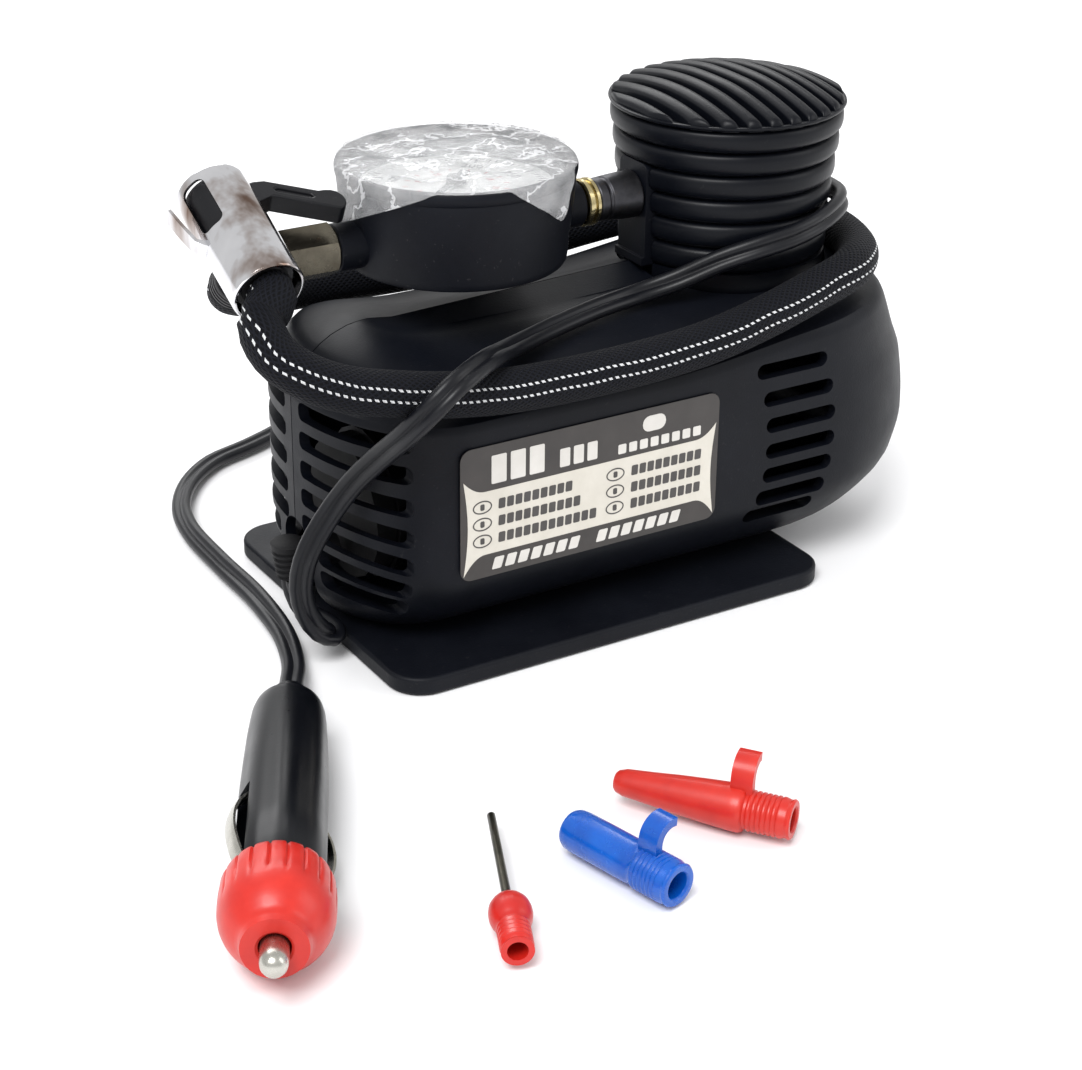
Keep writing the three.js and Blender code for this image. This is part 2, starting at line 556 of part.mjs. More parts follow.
function buildHose() {
  const nut = new THREE.CylinderGeometry(NUT.acrossFlats / Math.sqrt(3), NUT.acrossFlats / Math.sqrt(3), NUT.x1 - NUT.x0, 6);
  nut.rotateY(Math.PI / 6).rotateZ(Math.PI / 2).translate((NUT.x0 + NUT.x1) / 2, 0, AIR_Z);
  part('hose_nut', cut(nut, cylinderX(NUT.x0 - 1, NUT.x1 + 1, 0, AIR_Z, 2, 12)), 'brass');
  const section = new THREE.Shape();
  section.absarc(0, 0, 3.2, 0, 2 * Math.PI);
  const elbowPath = new THREE.QuadraticBezierCurve3(...ELBOW);
  const elbow = new THREE.ExtrudeGeometry(section, { steps: 8, extrudePath: elbowPath, bevelEnabled: false, curveSegments: 6 });
  part('hose_elbow', elbow, 'brass');
  const ferruleStart = ELBOW[2].clone().addScaledVector(ELBOW_EXIT, GAP);
  part('hose_ferrule', cylinderBetween(ferruleStart, FERRULE_END, 5.3, 20), 'rubber');
  part('air_hose', tubeAlong(hosePoints(), HOSE_R, 10, 32), 'rubber');
}

function leverGeometry() {
  const outline = new THREE.Shape();
  outline.moveTo(2.4, -0.6);
  outline.lineTo(5.4, 2.6);
  outline.lineTo(19.6, 3.2);
  outline.quadraticCurveTo(21.2, 5, 20, 7);
  outline.quadraticCurveTo(17, 9.4, 14.4, 7.1);
  outline.lineTo(3.4, 6.6);
  outline.quadraticCurveTo(-1.4, 5.2, -2.4, 0.6);
  outline.absarc(0, 0, 2.45, Math.PI * 0.92, Math.PI * 1.92);
  const blade = slab(outline, -2.3, 2.3, 5).rotateX(Math.PI / 2);
  const lever = cut(blade, cylinderY(0, -5, 5, 0, 1.06, 12));
  return lever.rotateY(-THREE.MathUtils.degToRad(CHUCK.leverRest)).translate(CHUCK.pivotX, 0, CHUCK.pivotZ);
}

function buildChuck() {
  const chuck = new THREE.Group();
  const third = new THREE.Vector3().crossVectors(CHUCK_AXIS, CHUCK_SIDE).normalize();
  const side = new THREE.Vector3().crossVectors(third, CHUCK_AXIS);
  chuck.quaternion.setFromRotationMatrix(new THREE.Matrix4().makeBasis(side, third, CHUCK_AXIS));
  chuck.position.copy(CHUCK_MOUTH);
  group.add(chuck);

  const { length, outerR, innerR, pivotX, pivotZ } = CHUCK;
  const tube = ringZ(innerR, outerR, 0, length, 20);
  const edge = [[-7.2, 13.2], [-9.5, 15.3], [-11.3, 24.8], [-10.6, 25], [-8.8, 15.9], [-6.9, 14.8]];
  const tab = new THREE.Shape(edge.map(([x, z]) => new THREE.Vector2(x, z)));
  const fin = slab(tab, -1.6, 1.6).rotateX(Math.PI / 2);
  const window = box(3.4, 10, -3.6, 3.6, 20, length + 1);
  const slot = box(-12, -5, -2.9, 2.9, 15.6, 27.6).rotateZ(THREE.MathUtils.degToRad(38));
  part('chuck_sleeve', cut(union(tube, fin), window, slot), 'chrome', chuck);

  const core = turned([[0, 2.5], [6.2, 2.5], [6.5, 3.2], [6.5, 27.2], [4, 28.3], [3.9, 18.6], [0, 18.6]], 16);
  const leverSlot = box(1.2, 8, -2.7, 2.7, 19, 30);
  const pinHole = cylinderY(pivotX, -8, 8, pivotZ, 1, 12);
  part('chuck_body', cut(core, leverSlot, pinHole), 'shell', chuck);
  part('chuck_seal', ringZ(1.9, 3.6, 18.9, 21.4, 16), 'rubber', chuck);
  part('lever_pin', cylinderY(pivotX, -4, 4, pivotZ, 0.95, 12), 'steel', chuck);
  part('thumb_lever', leverGeometry(), 'shell', chuck);
  part('chuck_boot', cylinderZ(0, 0, 1.9, 2.2, 5, 16), 'rubber', chuck);
}

// ---------- lead ----------

const GLAND_END = [-60.6, 0, 12.4];

const LEAD_NEAR = [
  [-60.6, 0, 11.9], [-60.6, -0.1, 10.4], [-60.4, -2.6, 7.4], [-59.4, -7.4, 5.8], [-58.2, -12, 5.6],
  [-58, -16, 5.7], [-59.8, -18.8, 6.4], [-63, -19.6, 8.6], [-66, -19.4, 13.6], [-67.2, -19.6, 20],
  [-66.4, -20.2, 26], [-63.8, -20.8, 31.8], [-60.4, -22.4, 38], [-57.4, -26.4, 45], [-54.8, -32.8, 52.3],
  [-52.6, -41, 60.2], [-49.8, -45.2, 65.9], [-45.2, -45.8, 70], [-39.4, -43.6, 71.7], [-32, -38.2, 71.2],
  [-24, -30, 68.2], [-14, -23.6, 66.8], [-4, -19.6, 66.8], [8, -16.6, 67.4], [19, -15.6, 68.2],
  [27, -18.4, 70.8], [34.6, -22.8, 75], [42, -26.2, 77.7], [50, -27.4, 79.3], [57.9, -26.2, 80.6],
  [64.4, -23.2, 81.4], [70, -19, 81.6], [74.2, -13.6, 81], [77, -6.9, 80.2], [77.9, 0.6, 79.8],
  [77, 7.6, 79.4], [73.6, 15.2, 79], [66.6, 22.4, 78.8], [56.4, 27.8, 78.2], [46, 32.4, 76.4],
  [36, 37.6, 73.8], [27, 42.4, 70.4], [18, 45.6, 64.4], [11, 47, 54], [8, 48, 40], [8.6, 49, 28],
  [11.6, 51.4, 17.6], [19, 55.4, 12], [29, 57.6, 10.8], [38, 58.1, 10.6],
];

const LEAD_FAR = [
  [6.4, 120, 2.3], [2, 112, CORD_Z], [-6, 103, CORD_Z], [-17, 94.6, CORD_Z], [-29, 89, CORD_Z], [-41, 84.6, CORD_Z],
  [-51, 76, CORD_Z], [-58.6, 63.8, CORD_Z], [-62.4, 50, CORD_Z], [-63.4, 30, CORD_Z], [-63.4, 12, CORD_Z],
  [-65.4, -6, CORD_Z], [-70, -20.4, 3], [-75.6, -31.4, 5.6], [-79.7, -39.2, 8.2],
];

function buildLead() {
  const block = cylinderX(-61, -49.6, 0, 17, 3.8, 18);
  const relief = new THREE.CylinderGeometry(3.9, 2.7, 8.6, 16).rotateX(Math.PI / 2);
  relief.translate(GLAND_END[0], GLAND_END[1], GLAND_END[2] + 4.3);
  part('cord_gland', union(block, relief), 'rubber');
  part('power_cord_near', tubeAlong(LEAD_NEAR, CORD_R, 8, 50), 'rubber');
  part('power_cord_far', tubeAlong(LEAD_FAR, CORD_R, 8, 20), 'rubber');
  const coil = ringZ(COIL.innerR, COIL.outerR, GAP, COIL.height, 32).translate(COIL.x, COIL.y, 0);
  part('cord_coil', coil, 'rubber');
  const { innerR, outerR, height } = COIL;
  const [left, right, roof] = [innerR - 0.8, outerR + 0.6, height + 0.5];
  const arch = [[left - 1.4, 0], [left - 1.4, roof + 1.2], [right + 1.4, roof + 1.2], [right + 1.4, 0],
    [right, 0], [right, roof], [left, roof], [left, 0]];
  const band = slab(new THREE.Shape(arch.map(([x, z]) => new THREE.Vector2(x, z))), -3, 3).rotateX(Math.PI / 2);
  part('coil_tie', band.translate(COIL.x, COIL.y, 0), 'rubber');
}

// ---------- lighter plug ----------

function plugContact(sign) {
  const strip = new THREE.Shape();
  strip.moveTo(46, 7.3);
  strip.quadraticCurveTo(56, 14, 70.8, 7.3);
  strip.lineTo(70.8, 6.6);
  strip.quadraticCurveTo(56, 13.2, 46, 6.6);
  const blade = slab(strip, -1.6, 1.6, 6);
  const basis = new THREE.Matrix4();
  basis.makeBasis(new THREE.Vector3(0, 0, 1), new THREE.Vector3(sign, 0, 0), new THREE.Vector3(0, sign, 0));
  return blade.applyMatrix4(basis);
}

function buildPlug() {
  const plug = new THREE.Group();
  plug.position.copy(PLUG_START);
  const level = new THREE.Vector3().crossVectors(new THREE.Vector3(0, 0, 1), PLUG_AXIS).normalize();
  const up = new THREE.Vector3().crossVectors(PLUG_AXIS, level);
  plug.quaternion.setFromRotationMatrix(new THREE.Matrix4().makeBasis(level, up, PLUG_AXIS));
  plug.rotateZ(THREE.MathUtils.degToRad(PLUG_ROLL));
  group.add(plug);

  const shell = turned([[0, 0.6], [3.4, 0.6], [3.9, 1.4], [3.7, 5.4], [5.6, 8], [7, 12], [7.9, 18], [8.3, 24], [8.4, 71.2],
    [6.2, 71.2], [6, 40], [0, 40]], 20);
  const pockets = [-1, 1].map((sign) => box(Math.min(sign * 5, sign * 12), Math.max(sign * 5, sign * 12), -2.2, 2.2, 44.6, 73));
  part('plug_barrel', cut(shell, ...pockets), 'shell', plug);
  part('plug_contact_left', plugContact(1), 'steel', plug);
  part('plug_contact_right', plugContact(-1), 'steel', plug);
  const collar = turned([[2.8, 90.4], [6, 90.4], [6.6, 89], [8.6, 87.4], [9.9, 85.4], [10.4, 83], [10.3, 72], [9.9, 71.5],
    [6.2, 71.5], [6.2, 84], [2.8, 86], [2.8, 90.4]], 20);
  part('plug_collar', collar, 'red', plug);
  part('plug_fuse', cylinderZ(0, 0, 48, 79, 3.1, 16), 'steel', plug);
  const tip = turned([[0, 82], [4.6, 82], [4.6, 83], [2.7, 84], [2.7, 94.6], [1.6, 96.6], [0, 97]], 20);
  part('plug_tip', tip, 'steel', plug);
}

// ---------- loose adapters ----------

// A group whose +Z runs along the floor in the given heading, centred at height z.
function lyingGroup(x, y, z, headingX, headingY) {
  const lying = new THREE.Group();
  const axis = new THREE.Vector3(headingX, headingY, 0).normalize();
  const level = new THREE.Vector3().crossVectors(new THREE.Vector3(0, 0, 1), axis);
  lying.quaternion.setFromRotationMatrix(new THREE.Matrix4().makeBasis(level, new THREE.Vector3(0, 0, 1), axis));
  lying.position.set(x, y, z);
  group.add(lying);
  return lying;
}

// A springy hook that stands up from the adapter's side.
function hookGeometry(z0, z1, r) {
  const shape = new THREE.Shape();
  shape.moveTo(-0.9, r - 0.8);
  shape.quadraticCurveTo(-0.9, r + 5.4, 4.6, r + 6.2);
  shape.lineTo(4.9, r + 4.7);
  shape.quadraticCurveTo(1, r + 4, 1, r - 0.8);
  return slab(shape, z0, z1, 4);
}

function buildAdapters() {
  const needle = lyingGroup(-64.4, -93.6, 4.2, -0.409, -0.913);
  const needleBody = turned([[0, 0], [0.8, 0], [0.9, 28.4], [2.4, 28.4], [4, 31], [4, 34.4], [3.1, 36], [3, 43.8],
    [1.9, 43.8], [1.9, 38], [0, 38]], 14);
  part('needle_adapter', needleBody, 'red', needle);
  const blue = lyingGroup(-54, -105.6, 4.6, 0.24, -0.971);
  const blueBody = turned([[0, 0], [3.4, 0], [4.1, 1], [4.2, 16.6], [4, 17.4], [4.4, 18.4], [4.4, 27], [2.6, 27], [2.6, 20],
    [0, 20]], 16);
  part('blue_adapter', union(blueBody, hookGeometry(17.6, 22, 4)), 'blue', blue);
  const red = lyingGroup(-38.2, -96.2, 4.9, 0.596, -0.803);
  const redBody = turned([[0, 0], [1.9, 0], [2.6, 1], [4.7, 26], [4, 26.6], [4, 36], [2.4, 36], [2.4, 30], [0, 30]], 16);
  part('red_nozzle', union(redBody, hookGeometry(23.4, 27.8, 4.1)), 'red', red);
}

buildHousing();
buildBase();
buildTower();
buildGears();
buildMotor();
buildFrame();
buildPump();
buildGauge();
buildHose();
buildChuck();
buildLead();
buildPlug();
buildAdapters();

export default group;
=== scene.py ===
import math

import bmesh
import bpy
from mathutils import Matrix, Vector, noise


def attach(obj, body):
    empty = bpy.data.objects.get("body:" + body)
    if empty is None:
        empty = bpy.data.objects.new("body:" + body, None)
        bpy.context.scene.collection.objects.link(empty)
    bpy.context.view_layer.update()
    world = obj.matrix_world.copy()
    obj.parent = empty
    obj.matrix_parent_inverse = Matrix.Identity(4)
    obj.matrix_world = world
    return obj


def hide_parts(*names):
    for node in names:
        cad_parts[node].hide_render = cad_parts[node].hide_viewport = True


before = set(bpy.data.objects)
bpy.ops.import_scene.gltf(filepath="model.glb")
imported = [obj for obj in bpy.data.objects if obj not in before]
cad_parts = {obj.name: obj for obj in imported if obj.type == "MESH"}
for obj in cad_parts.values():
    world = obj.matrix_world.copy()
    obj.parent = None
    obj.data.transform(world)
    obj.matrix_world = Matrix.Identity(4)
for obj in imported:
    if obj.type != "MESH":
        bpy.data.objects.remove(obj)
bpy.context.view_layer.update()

MM = 0.001
MERGE_DISTANCE = 2e-6
LEAST_RADIUS = 0.0005
MAIN = "pump_body"

# ---------- camera ----------


def make_camera():
    yaw, pitch, roll = 0.552, 0.456, 0.012
    right = Vector((math.cos(yaw), -math.sin(yaw), 0))
    ahead = Vector((math.sin(yaw) * math.cos(pitch), math.cos(yaw) * math.cos(pitch), -math.sin(pitch)))
    up = right.cross(ahead)
    x_axis = right * math.cos(roll) + up * math.sin(roll)
    y_axis = up * math.cos(roll) - right * math.sin(roll)
    matrix = Matrix((x_axis, y_axis, -ahead)).transposed().to_4x4()
    matrix.translation = Vector((-0.2599, -0.4279, 0.2530))
    data = bpy.data.cameras.new("photo_camera")
    data.sensor_width = 36
    data.lens = 80.5
    data.clip_start = 0.01
    data.clip_end = 20
    camera = bpy.data.objects.new("photo_camera", data)
    bpy.context.collection.objects.link(camera)
    camera.matrix_world = matrix
    bpy.context.scene.camera = camera


make_camera()

# ---------- material helpers ----------


class Nodes:
    """Short names for building one material's node tree."""

    def __init__(self, name):
        self.material = bpy.data.materials.new(name)
        self.material.use_nodes = True
        self.tree = self.material.node_tree
        self.shader = self.tree.nodes["Principled BSDF"]

    def add(self, kind, **values):
        node = self.tree.nodes.new("ShaderNode" + kind)
        for key, value in values.items():
            setattr(node, key, value)
        return node

    def link(self, a, b):
        self.tree.links.new(a, b)

    def set(self, **values):
        for key, value in values.items():
            self.shader.inputs[key.replace("_", " ")].default_value = value

    def object_coords(self):
        return self.add("TexCoord").outputs["Object"]

    def uv(self):
        return self.add("TexCoord").outputs["UV"]

    def noise(self, scale, detail=3, rough=0.5, coords=None, stretch=None):
        node = self.add("TexNoise")
        node.inputs["Scale"].default_value = scale
        node.inputs["Detail"].default_value = detail
        node.inputs["Roughness"].default_value = rough
        source = coords or self.object_coords()
        if stretch:
            mapping = self.add("Mapping")
            mapping.inputs["Scale"].default_value = stretch
            self.link(source, mapping.inputs["Vector"])
            source = mapping.outputs["Vector"]
        self.link(source, node.inputs["Vector"])
        return node.outputs["Fac"]

    def math(self, operation, a, b=None, clamp=False):
        node = self.add("Math", operation=operation, use_clamp=clamp)
        for socket, value in zip(node.inputs, (a, b)):
            if value is None:
                continue
            if isinstance(value, (int, float)):
                socket.default_value = value
            else:
                self.link(value, socket)
        return node.outputs["Value"]

    def ramp(self, value, *stops):
        node = self.add("ValToRGB")
        elements = node.color_ramp.elements
        while len(elements) < len(stops):
            elements.new(0.5)
        for element, (place, colour) in zip(elements, stops):
            element.position = place
            element.color = colour if len(colour) == 4 else (*colour, 1)
        self.link(value, node.inputs["Fac"])
        return node.outputs["Color"]

    def scaled(self, value, low, high):
        node = self.add("MapRange")
        node.inputs["To Min"].default_value = low
        node.inputs["To Max"].default_value = high
        self.link(value, node.inputs["Value"])
        return node.outputs["Result"]

    def mix(self, factor, a, b):
        node = self.add("Mix", data_type="RGBA")
        inputs = [s for s in node.inputs if s.enabled]
        for socket, value in zip(inputs, (factor, a, b)):
            if isinstance(value, (tuple, list)):
                socket.default_value = value if len(value) == 4 else (*value, 1)
            elif isinstance(value, (int, float)):
                socket.default_value = value
            else:
                self.link(value, socket)
        return next(s for s in node.outputs if s.enabled)

    def colour(self, output):
        self.link(output, self.shader.inputs["Base Color"])

    def roughness(self, output):
        self.link(output, self.shader.inputs["Roughness"])

    def bump(self, height, strength, distance):
        node = self.add("Bump")
        node.inputs["Strength"].default_value = strength
        node.inputs["Distance"].default_value = distance
        self.link(height, node.inputs["Height"])
        self.link(node.outputs["Normal"], self.shader.inputs["Normal"])


def plastic(name, dark, light, rough=(0.32, 0.5), grain=2600, grain_depth=0.00005, specular=0.5, dust=0.0, coat=0.0):
    """Moulded plastic: mottled colour, fine spark-eroded grain, smears in the gloss and a little dust."""
    n = Nodes(name)
    cloud = n.noise(55, 4, 0.6)
    base = n.ramp(cloud, (0.3, dark), (0.72, light))
    if dust:
        specks = n.noise(900, 2, 0.7)
        mask = n.math("MULTIPLY", n.scaled(n.math("GREATER_THAN", specks, 0.69), 0, dust), n.noise(35, 2))
        base = n.mix(mask, base, (0.5, 0.48, 0.45))
    n.colour(base)
    n.roughness(n.scaled(n.noise(140, 5, 0.65), *rough))
    n.bump(n.noise(grain, 2, 0.6), 0.35, grain_depth)
    n.set(Specular_IOR_Level=specular, Coat_Weight=coat, Coat_Roughness=0.2)
    return n.material


def metal(name, dark, light, rough=(0.15, 0.32), grain=220, stretch=(1, 1, 1), spots=0.0, depth=0.00002):
    """Plated or turned metal: toned colour, machining or wear streaks, and optional spots of tarnish."""
    n = Nodes(name)
    base = n.ramp(n.noise(90, 5, 0.65), (0.3, dark), (0.7, light))
    if spots:
        mask = n.ramp(n.noise(520, 3, 0.6), (0.62, (0, 0, 0)), (0.75, (spots, spots, spots)))
        base = n.mix(mask, base, (0.16, 0.11, 0.07))
    n.colour(base)
    streaks = n.noise(grain, 4, 0.6, stretch=stretch)
    n.roughness(n.scaled(streaks, *rough))
    n.bump(streaks, 0.25, depth)
    n.set(Metallic=1.0)
    return n.material


BLACK = plastic("moulded_black", (0.0018, 0.0024, 0.0048), (0.0040, 0.0050, 0.0085), (0.36, 0.55), 2200, 0.00009,
    0.17, 0.02)
BASE_BLACK = plastic("base_black", (0.0022, 0.0028, 0.0052), (0.0050, 0.0060, 0.0095), (0.42, 0.6), 1700, 0.00012,
    0.18, 0.03)
TOWER_BLACK = plastic("tower_black", (0.0016, 0.0022, 0.0042), (0.0036, 0.0044, 0.0072), (0.3, 0.46), 1500, 0.00004,
    0.19, 0.02)
GAUGE_BLACK = plastic("gauge_black", (0.0018, 0.0024, 0.0048), (0.0042, 0.0052, 0.0088), (0.42, 0.6), 2000, 0.00006,
    0.16, 0.04)
PLUG_BLACK = plastic("plug_black", (0.0016, 0.0020, 0.0034), (0.0034, 0.0040, 0.0060), (0.22, 0.38), 1300, 0.00003,
    0.26, 0.02)
LEVER_BLACK = plastic("lever_black", (0.0026, 0.0028, 0.0040), (0.0062, 0.0064, 0.0084), (0.28, 0.46), 1500,
    0.00004, 0.26, 0.03)
RUBBER = plastic("soft_rubber", (0.0040, 0.0040, 0.0048), (0.0085, 0.0085, 0.0098), (0.5, 0.7), 900, 0.00008, 0.22,
    0.04)
CORD_SHEATH = plastic("cord_sheath", (0.0024, 0.0028, 0.0046), (0.0052, 0.0058, 0.0086), (0.3, 0.44), 1300, 0.00003,
    0.30, 0.02)
NYLON = plastic("gear_nylon", (0.66, 0.64, 0.57), (0.78, 0.76, 0.7), (0.35, 0.5), 1200, 0.00003)
DULL_CAN = metal("dull_can", (0.02, 0.02, 0.022), (0.055, 0.055, 0.058), (0.45, 0.65), 300)
STEEL = metal("plated_steel", (0.38, 0.38, 0.4), (0.56, 0.56, 0.57), (0.22, 0.4), 300, (1, 6, 1))
ALLOY = metal("cast_alloy", (0.42, 0.42, 0.44), (0.58, 0.58, 0.6), (0.35, 0.55), 700, depth=0.00005)
DARK_ALLOY = metal("dark_alloy", (0.045, 0.045, 0.05), (0.11, 0.11, 0.12), (0.3, 0.5), 420, (6, 1, 1), 0.2, 0.00004)
BRASS = metal("turned_brass", (0.50, 0.42, 0.22), (0.66, 0.56, 0.32), (0.14, 0.3), 260, (9, 1, 1), 0.35)
CONTACT = metal("contact_nickel", (0.40, 0.39, 0.35), (0.58, 0.57, 0.52), (0.2, 0.36), 400, (1, 1, 4), 0.2)
NUT_METAL = metal("nut_nickel", (0.07, 0.06, 0.045), (0.22, 0.20, 0.155), (0.16, 0.34), 330, (1, 4, 1), 0.5, 0.00003)
NEEDLE_STEEL = metal("needle_steel", (0.07, 0.068, 0.055), (0.16, 0.15, 0.12), (0.28, 0.45), 500, (1, 1, 6), 0.3)

# ---------- mesh helpers ----------


def finish_mesh(name, mesh, material, body=MAIN, replaced=(), angle=38, bevel=0.0, segments=2,
    matrix=None):
    """Links a mesh as a piece: shaded smooth with sharp edges kept, bevelled, riding on its body."""
    obj = bpy.data.objects.new(name, mesh)
    bpy.context.collection.objects.link(obj)
    if matrix is not None:
        mesh.transform(matrix)
    if not mesh.materials:
        mesh.materials.append(material)
    for face in mesh.polygons:
        face.use_smooth = True
    if bevel:
        modifier = obj.modifiers.new("soft_edges", "BEVEL")
        modifier.width = bevel * MM
        modifier.segments = segments
        modifier.limit_method = "ANGLE"
        modifier.angle_limit = math.radians(angle)
        modifier.harden_normals = False
        modifier.use_clamp_overlap = True
        normals = obj.modifiers.new("even_shading", "WEIGHTED_NORMAL")
        normals.keep_sharp = True
        mesh.set_sharp_from_angle(angle=math.radians(89))
    else:
        mesh.set_sharp_from_angle(angle=math.radians(angle))
    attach(obj, body)
    if replaced:
        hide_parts(*replaced)
    return obj


def mesh_of(name, points, faces):
    mesh = bpy.data.meshes.new(name)
    mesh.from_pydata([(p[0] * MM, p[1] * MM, p[2] * MM) for p in points], [], faces)
    mesh.validate()
    mesh.update()
    work = bmesh.new()
    work.from_mesh(mesh)
    bmesh.ops.remove_doubles(work, verts=work.verts, dist=1e-7)
    bmesh.ops.recalc_face_normals(work, faces=work.faces)
    work.to_mesh(mesh)
    work.free()
    return mesh


def skin(rings, closed_path=False):
    """Points and faces of a skin over rings with the same number of points."""
    count = len(rings[0])
    points = [p for ring in rings for p in ring]
    faces = []
    rows = len(rings) if closed_path else len(rings) - 1
    for i in range(rows):
        for j in range(count):
            a = i * count + j
            b = i * count + (j + 1) % count
            c = (i + 1) % len(rings) * count + (j + 1) % count
            d = (i + 1) % len(rings) * count + j
            faces.append((a, b, c, d))
    if not closed_path:
        faces.append(tuple(range(count - 1, -1, -1)))
        faces.append(tuple(range((len(rings) - 1) * count, len(rings) * count)))
    return points, faces


def merge_close(mesh, degenerate=False):
    work = bmesh.new()
    work.from_mesh(mesh)
    bmesh.ops.remove_doubles(work, verts=work.verts, dist=MERGE_DISTANCE)
    if degenerate:
        bmesh.ops.dissolve_degenerate(work, edges=work.edges, dist=MERGE_DISTANCE)
    work.to_mesh(mesh)
    work.free()
    return mesh


def lathe_mesh(name, profile, sides=72, closed=False):
    """A profile of (radius, height) turned about Z. A profile that starts and ends on the axis is closed by it."""
    rings = [[(x, y, h) for x, y in circle(max(r, LEAST_RADIUS), sides)] for r, h in profile]
    return merge_close(mesh_of(name, *skin(rings, closed_path=closed)))


def rod_mesh(r, low, high, sides=24):
    return lathe_mesh("rod", [(0, low), (r, low), (r, high), (0, high)], sides)


def band_mesh(name, outer, inner, low, high):
    """The wall between two outlines with the same number of points, from z = low to z = high."""
    rings = [[(x, y, z) for x, y in outline] for outline, z in ((outer, low), (outer, high), (inner, high),
        (inner, low))]
    return mesh_of(name, *skin(rings, closed_path=True))


def prism_mesh(name, outline, low, high):
    """An outline of (x, y) points raised from z = low to z = high."""
    count = len(outline)
    points = [(x, y, low) for x, y in outline] + [(x, y, high) for x, y in outline]
    faces = [tuple(range(count - 1, -1, -1)), tuple(range(count, 2 * count))]
    faces += [(i, (i + 1) % count, count + (i + 1) % count, count + i) for i in range(count)]
    return mesh_of(name, points, faces)


def join_meshes(name, *meshes):
    work = bmesh.new()
    for mesh in meshes:
        work.from_mesh(mesh)
    joined = bpy.data.meshes.new(name)
    work.to_mesh(joined)
    work.free()
    return joined


def box_mesh(name, x0, x1, y0, y1, z0, z1):
    return prism_mesh(name, [(x0, y0), (x1, y0), (x1, y1), (x0, y1)], z0, z1)


def arc(cx, cy, r, start, end, steps):
    angles = [math.radians(start + (end - start) * i / steps) for i in range(steps + 1)]
    return [(cx + r * math.cos(a), cy + r * math.sin(a)) for a in angles]


def circle(r, sides):
    angles = [2 * math.pi * k / sides for k in range(sides)]
    return [(r * math.cos(a), r * math.sin(a)) for a in angles]


def bezier(a, b, c, t):
    return a * (1 - t) ** 2 + b * (2 * t * (1 - t)) + c * t * t


def rounded_rectangle(half_x, half_y, r, steps=8):
    points = []
    for x, y, start in ((1, -1, -90), (1, 1, 0), (-1, 1, 90), (-1, -1, 180)):
        points += arc(x * (half_x - r), y * (half_y - r), r, start, start + 90, steps)
    return points


def boolean(mesh, tool, operation="DIFFERENCE"):
    """The mesh after an exact boolean with the tool mesh."""
    a = bpy.data.objects.new("work_a", mesh)
    b = bpy.data.objects.new("work_b", tool)
    for obj in (a, b):
        bpy.context.collection.objects.link(obj)
    modifier = a.modifiers.new("cut", "BOOLEAN")
    modifier.operation = operation
    modifier.solver = "EXACT"
    modifier.object = b
    graph = bpy.context.evaluated_depsgraph_get()
    result = bpy.data.meshes.new_from_object(a.evaluated_get(graph))
    bpy.data.objects.remove(a)
    bpy.data.objects.remove(b)
    return merge_close(result, degenerate=True)


def frame_matrix(origin, x_axis, z_axis):
    """A frame with its origin in mm, its Z along z_axis and its X near x_axis."""
    z = Vector(z_axis).normalized()
    y = z.cross(Vector(x_axis)).normalized()
    x = y.cross(z)
    matrix = Matrix((x, y, z)).transposed().to_4x4()
    matrix.translation = Vector(origin) * MM
    return matrix


def along_x(x=0, y=0, z=0):
    return frame_matrix((x, y, z), (0, 1, 0), (1, 0, 0))


# These turn a prism so that its outline of (y, z) points is raised along X, or one of (x, z) points along -Y.
RAISED_ALONG_X = Matrix(((0, 0, 1, 0), (1, 0, 0, 0), (0, 1, 0, 0), (0, 0, 0, 1)))
RAISED_ALONG_Y = Matrix(((1, 0, 0, 0), (0, 0, -1, 0), (0, 1, 0, 0), (0, 0, 0, 1)))


def prism_on(turn, name, outline, low, high):
    mesh = prism_mesh(name, outline, low, high)
    mesh.transform(turn)
    return mesh


# ---------- smooth curves ----------


def curve_points(route, spacing):
    """Points along a centripetal Catmull-Rom curve through the route, about spacing apart, all in mm."""
    points = [Vector(p) for p in route]
    points = [points[0] * 2 - points[1]] + points + [points[-1] * 2 - points[-2]]
    line = []
    for i in range(1, len(points) - 2):
        p0, p1, p2, p3 = points[i - 1:i + 3]
        t0 = 0
        t1 = t0 + max((p1 - p0).length, 1e-6) ** 0.5
        t2 = t1 + max((p2 - p1).length, 1e-6) ** 0.5
        t3 = t2 + max((p3 - p2).length, 1e-6) ** 0.5
        steps = max(2, round((p2 - p1).length / spacing))
        for k in range(steps):
            t = t1 + (t2 - t1) * k / steps
            a1 = p0 * ((t1 - t) / (t1 - t0)) + p1 * ((t - t0) / (t1 - t0))
            a2 = p1 * ((t2 - t) / (t2 - t1)) + p2 * ((t - t1) / (t2 - t1))
            a3 = p2 * ((t3 - t) / (t3 - t2)) + p3 * ((t - t2) / (t3 - t2))
            b1 = a1 * ((t2 - t) / (t2 - t0)) + a2 * ((t - t0) / (t2 - t0))
            b2 = a2 * ((t3 - t) / (t3 - t1)) + a3 * ((t - t1) / (t3 - t1))
            line.append(b1 * ((t2 - t) / (t2 - t1)) + b2 * ((t - t1) / (t2 - t1)))
    line.append(points[-2])
    return line


def direction_at(line, i):
    return (line[min(i + 1, len(line) - 1)] - line[max(i - 1, 0)]).normalized()


def length_of(line):
    return sum((b - a).length for a, b in zip(line, line[1:]))


